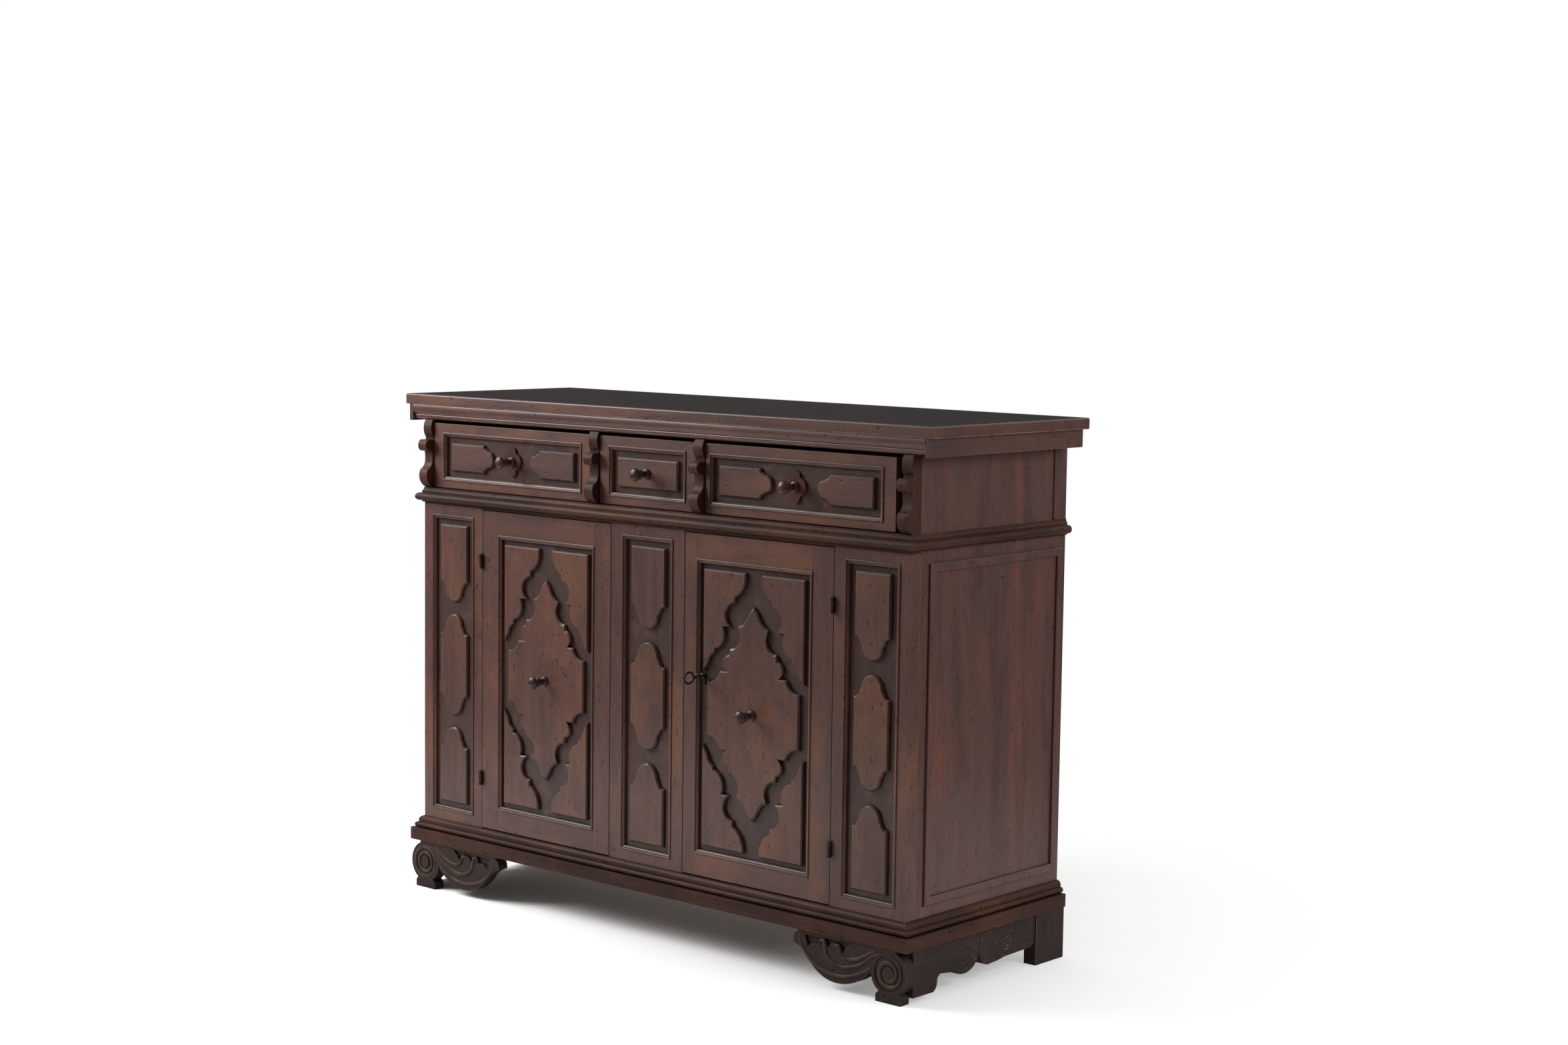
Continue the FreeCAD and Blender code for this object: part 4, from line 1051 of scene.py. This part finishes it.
def bow(place):
    """An oval ring of wire round a place, upright and in line with the shank."""
    ring = bmesh.new()
    turn = Matrix.Rotation(QUARTER, 4, "X")
    bmesh.ops.create_circle(ring, cap_ends=False, segments=WIRE_STEPS, radius=1, matrix=turn)
    bmesh.ops.scale(ring, vec=(WIRE_WIDE, 1, WIRE_TALL), verts=ring.verts)
    bmesh.ops.transform(ring, matrix=turn, verts=ring.verts)
    bmesh.ops.translate(ring, vec=(0, BOW_LONG - WIRE_TALL, 0), verts=ring.verts)
    full_turn(ring, ALONG_X, BOW_STEPS)
    bmesh.ops.scale(ring, vec=(1, 1, BOW_TALL / BOW_LONG), verts=ring.verts)
    bmesh.ops.translate(ring, vec=place, verts=ring.verts)
    bmesh.ops.recalc_face_normals(ring, faces=ring.faces)
    return ring


class CREDENZA_OT_ironwork(CredenzaPiece, bpy.types.Operator):
    """Adds the hinges, the lock with its bolt and the key"""
    bl_idname = "credenza.ironwork"
    bl_label = "Ironwork"

    def execute(self, context):
        key()
        nodes = ["hinge_pins", "lock_case", "lock_bolt"]
        nodes += [f"hinge_leaves_{name}" for name in SIDES]
        for node in nodes:
            dressed(node, ALONG_Z, worn_iron, width=IRON_EDGE, ending="iron")
        return {"FINISHED"}


class CREDENZA_OT_feet(CredenzaPiece, bpy.types.Operator):
    """Adds the carved front feet, the side brackets and the back legs"""
    bl_idname = "credenza.feet"
    bl_label = "Feet"

    def execute(self, context):
        for name, sign in SIDES.items():
            dressed(f"front_foot_{name}", ALONG_X, foot_walnut)
            dressed(f"side_bracket_{name}", ALONG_Y, dusty_walnut,
                    extra=lambda shape: reach_leg(shape, name))
            dressed(f"back_leg_{name}", ALONG_Z, foot_walnut)
            carving(name, sign)
        return {"FINISHED"}


def reach_leg(shape, name):
    """Lengthens the side bracket's last lobe up to the back leg."""
    bracket_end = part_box(f"side_bracket_{name}")[1].y
    leg_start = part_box(f"back_leg_{name}")[0].y
    for vert in shape.verts:
        if vert.co.y > bracket_end - LOBE_END:
            vert.co.y += leg_start - LEG_GAP - bracket_end


def foot_place(sign, across, up, depth):
    """A place on a foot by its shares of width and height, and its depth."""
    return Vector((sign * (FOOT_INNER + across * FOOT_WIDE), FOOT_FACE + depth, up * FOOT_TALL))


def scroll(sign, outer, inner, turns):
    """A path round the volute that closes in from one radius to another."""
    heart = foot_place(sign, *VOLUTE, VOLUTE_SUNK)
    path = []
    for index in range(VOLUTE_STEPS + 1):
        share = index / VOLUTE_STEPS
        angle = VOLUTE_START - sign * share * turns * math.tau
        reach = outer + (inner - outer) * share
        path.append(heart + Vector((reach * math.cos(angle), 0, reach * math.sin(angle))))
    return path


def carving(name, sign):
    """The raised worn ridges of the tendrils and the volute on one foot."""
    shape = bmesh.new()
    for line in RIDGES:
        points = curved(line, RIDGE_STEPS)
        ridge(shape, [foot_place(sign, across, up, TENDRIL_SUNK) for across, up in points])
    if sign > 0:
        ridge(shape, scroll(sign, VOLUTE_RADIUS, VOLUTE_EYE, VOLUTE_TURNS), VOLUTE_TIP)
    else:
        for reach in (VOLUTE_RADIUS, VOLUTE_RING):
            ridge(shape, scroll(sign, reach, reach, 1.0), 1.0)
    bmesh.ops.remove_doubles(shape, verts=shape.verts, dist=WELD)
    layered(shape)
    mark(shape, f"carving {name}", ALONG_X)
    paint(shape, "arris", RIDGE_WEAR_AND_HIGHLIGHT)
    soft_shading(shape)
    placed(f"foot_carving_{name}", shape, "case", foot_walnut)


class CREDENZA_OT_stage(CredenzaPiece, bpy.types.Operator):
    """Adds the pale floor, the soft lights, the white surroundings and the camera"""
    bl_idname = "credenza.stage"
    bl_label = "Stage"

    def execute(self, context):
        floor()
        surroundings(context.scene)
        for settings in LAMPS:
            lamp(*settings)
        camera(context.scene)
        context.scene.view_settings.view_transform = "Standard"
        return {"FINISHED"}


def floor():
    """A pale floor that fades into white further out and keeps the shadow."""
    shape = bmesh.new()
    bmesh.ops.create_circle(shape, cap_ends=True, segments=96, radius=FLOOR_RADIUS)
    mesh = bpy.data.meshes.new("floor")
    shape.to_mesh(mesh)
    shape.free()
    ground = bpy.data.objects.new("floor", mesh)
    bpy.context.scene.collection.objects.link(ground)
    graph = Graph("pale floor")
    own = graph.add("ShaderNodeTexCoord", out="Object")
    reach = graph.vector("LENGTH", own, (0, 0, 0), "Value")
    apart = graph.vector("DISTANCE", own, SHADOW_MIDDLE, "Value")
    away = graph.step(apart, *SHADOW_FADE)
    seen = graph.add("ShaderNodeLightPath", out="Is Camera Ray")
    carpet = graph.mix(graph.step(reach, *DARK_FADE), tuple(colours().floor), tint(*DARK_FLOOR))
    shade = graph.mix(seen, carpet, (FLOOR_LIFT, FLOOR_LIFT, FLOOR_LIFT))
    matte = graph.add("ShaderNodeBsdfDiffuse", None, {"Color": shade})
    white = graph.add("ShaderNodeEmission", None, {"Color": (1, 1, 1), "Strength": 1.0})
    inputs = {0: away * seen, 1: matte, 2: white}
    mesh.materials.append(graph.finish(graph.add("ShaderNodeMixShader", None, inputs)))


def surroundings(scene):
    """White to the camera; to all else a soft light, weaker from the camera's side."""
    world = bpy.data.worlds.new("surroundings")
    world.use_nodes = True
    scene.world = world
    tree = world.node_tree
    tree.nodes.clear()
    path = tree.nodes.new("ShaderNodeLightPath")
    strength = tree.nodes.new("ShaderNodeMapRange")
    tree.links.new(path.outputs["Is Camera Ray"], strength.inputs["Value"])
    facing = tree.nodes.new("ShaderNodeVectorMath")
    facing.operation = "DOT_PRODUCT"
    facing.inputs[1].default_value = (math.sin(EYE_AZIMUTH), -math.cos(EYE_AZIMUTH), 0)
    own = tree.nodes.new("ShaderNodeTexCoord")
    tree.links.new(own.outputs["Generated"], facing.inputs[0])
    room = tree.nodes.new("ShaderNodeMapRange")
    room.interpolation_type = "SMOOTHSTEP"
    levels = (*ROOM_TURN, BACK_LIGHT, ROOM_LIGHT)
    for word, level in zip(("From Min", "From Max", "To Min", "To Max"), levels):
        room.inputs[word].default_value = level
    tree.links.new(facing.outputs["Value"], room.inputs["Value"])
    tree.links.new(room.outputs["Result"], strength.inputs["To Min"])
    strength.inputs["To Max"].default_value = 1.0
    shade = tree.nodes.new("ShaderNodeBackground")
    shade.inputs["Color"].default_value = (1, 1, 1, 1)
    tree.links.new(strength.outputs["Result"], shade.inputs["Strength"])
    output = tree.nodes.new("ShaderNodeOutputWorld")
    tree.links.new(shade.outputs["Background"], output.inputs["Surface"])


def lamp(name, place, wide, power):
    """A soft square lamp that looks at the middle of the credenza."""
    light = bpy.data.lights.new(name, "AREA")
    light.size = wide
    light.energy = power
    holder = bpy.data.objects.new(name, light)
    bpy.context.scene.collection.objects.link(holder)
    turn = (LAMP_AIM - Vector(place)).to_track_quat("-Z", "Y").to_matrix().to_4x4()
    holder.matrix_world = Matrix.Translation(place) @ turn


def camera(scene):
    """The photograph's own view."""
    lens = bpy.data.cameras.new("camera")
    lens.lens = LENS
    lens.clip_end = FAR_CLIP
    holder = bpy.data.objects.new("camera", lens)
    scene.collection.objects.link(holder)
    back = Vector((math.sin(EYE_AZIMUTH) * math.cos(EYE_ELEVATION),
                   -math.cos(EYE_AZIMUTH) * math.cos(EYE_ELEVATION), math.sin(EYE_ELEVATION)))
    right = (-back).cross(ALONG_Z).normalized()
    up = right.cross(-back)
    across = right * math.cos(EYE_ROLL) + up * math.sin(EYE_ROLL)
    above = up * math.cos(EYE_ROLL) - right * math.sin(EYE_ROLL)
    turn = Matrix((across, above, back)).transposed().to_4x4()
    holder.matrix_world = Matrix.Translation(EYE) @ turn
    scene.camera = holder


class CREDENZA_PT_panel(bpy.types.Panel):
    """The credenza's pieces, sizes and colours"""
    bl_label = "Credenza"
    bl_idname = "CREDENZA_PT_panel"
    bl_space_type = "VIEW_3D"
    bl_region_type = "UI"
    bl_category = "Credenza"

    def draw(self, context):
        for group in (context.scene.credenza_sizes, context.scene.credenza_colours):
            box = self.layout.box()
            for word in group.bl_rna.properties.keys():
                if word not in ("rna_type", "name"):
                    box.prop(group, word)
        for operator in OPERATORS:
            self.layout.operator(operator.bl_idname)


OPERATORS = (
    CREDENZA_OT_stage, CREDENZA_OT_boards, CREDENZA_OT_top, CREDENZA_OT_mouldings,
    CREDENZA_OT_sides, CREDENZA_OT_pilasters, CREDENZA_OT_corbels, CREDENZA_OT_doors,
    CREDENZA_OT_drawers, CREDENZA_OT_ironwork, CREDENZA_OT_feet,
)
CLASSES = (CredenzaColours, CredenzaSizes, *OPERATORS, CREDENZA_PT_panel)


def register():
    for kind in CLASSES:
        bpy.utils.register_class(kind)
    bpy.types.Scene.credenza_colours = bpy.props.PointerProperty(type=CredenzaColours)
    bpy.types.Scene.credenza_sizes = bpy.props.PointerProperty(type=CredenzaSizes)


def unregister():
    del bpy.types.Scene.credenza_sizes
    del bpy.types.Scene.credenza_colours
    for kind in reversed(CLASSES):
        bpy.utils.unregister_class(kind)


def main():
    register()
    bpy.ops.credenza.stage()
    bpy.ops.credenza.boards()
    bpy.ops.credenza.top()
    bpy.ops.credenza.mouldings()
    bpy.ops.credenza.sides()
    bpy.ops.credenza.pilasters()
    bpy.ops.credenza.corbels()
    bpy.ops.credenza.doors()
    bpy.ops.credenza.drawers()
    bpy.ops.credenza.ironwork()
    bpy.ops.credenza.feet()


if __name__ == "__main__":
    main()
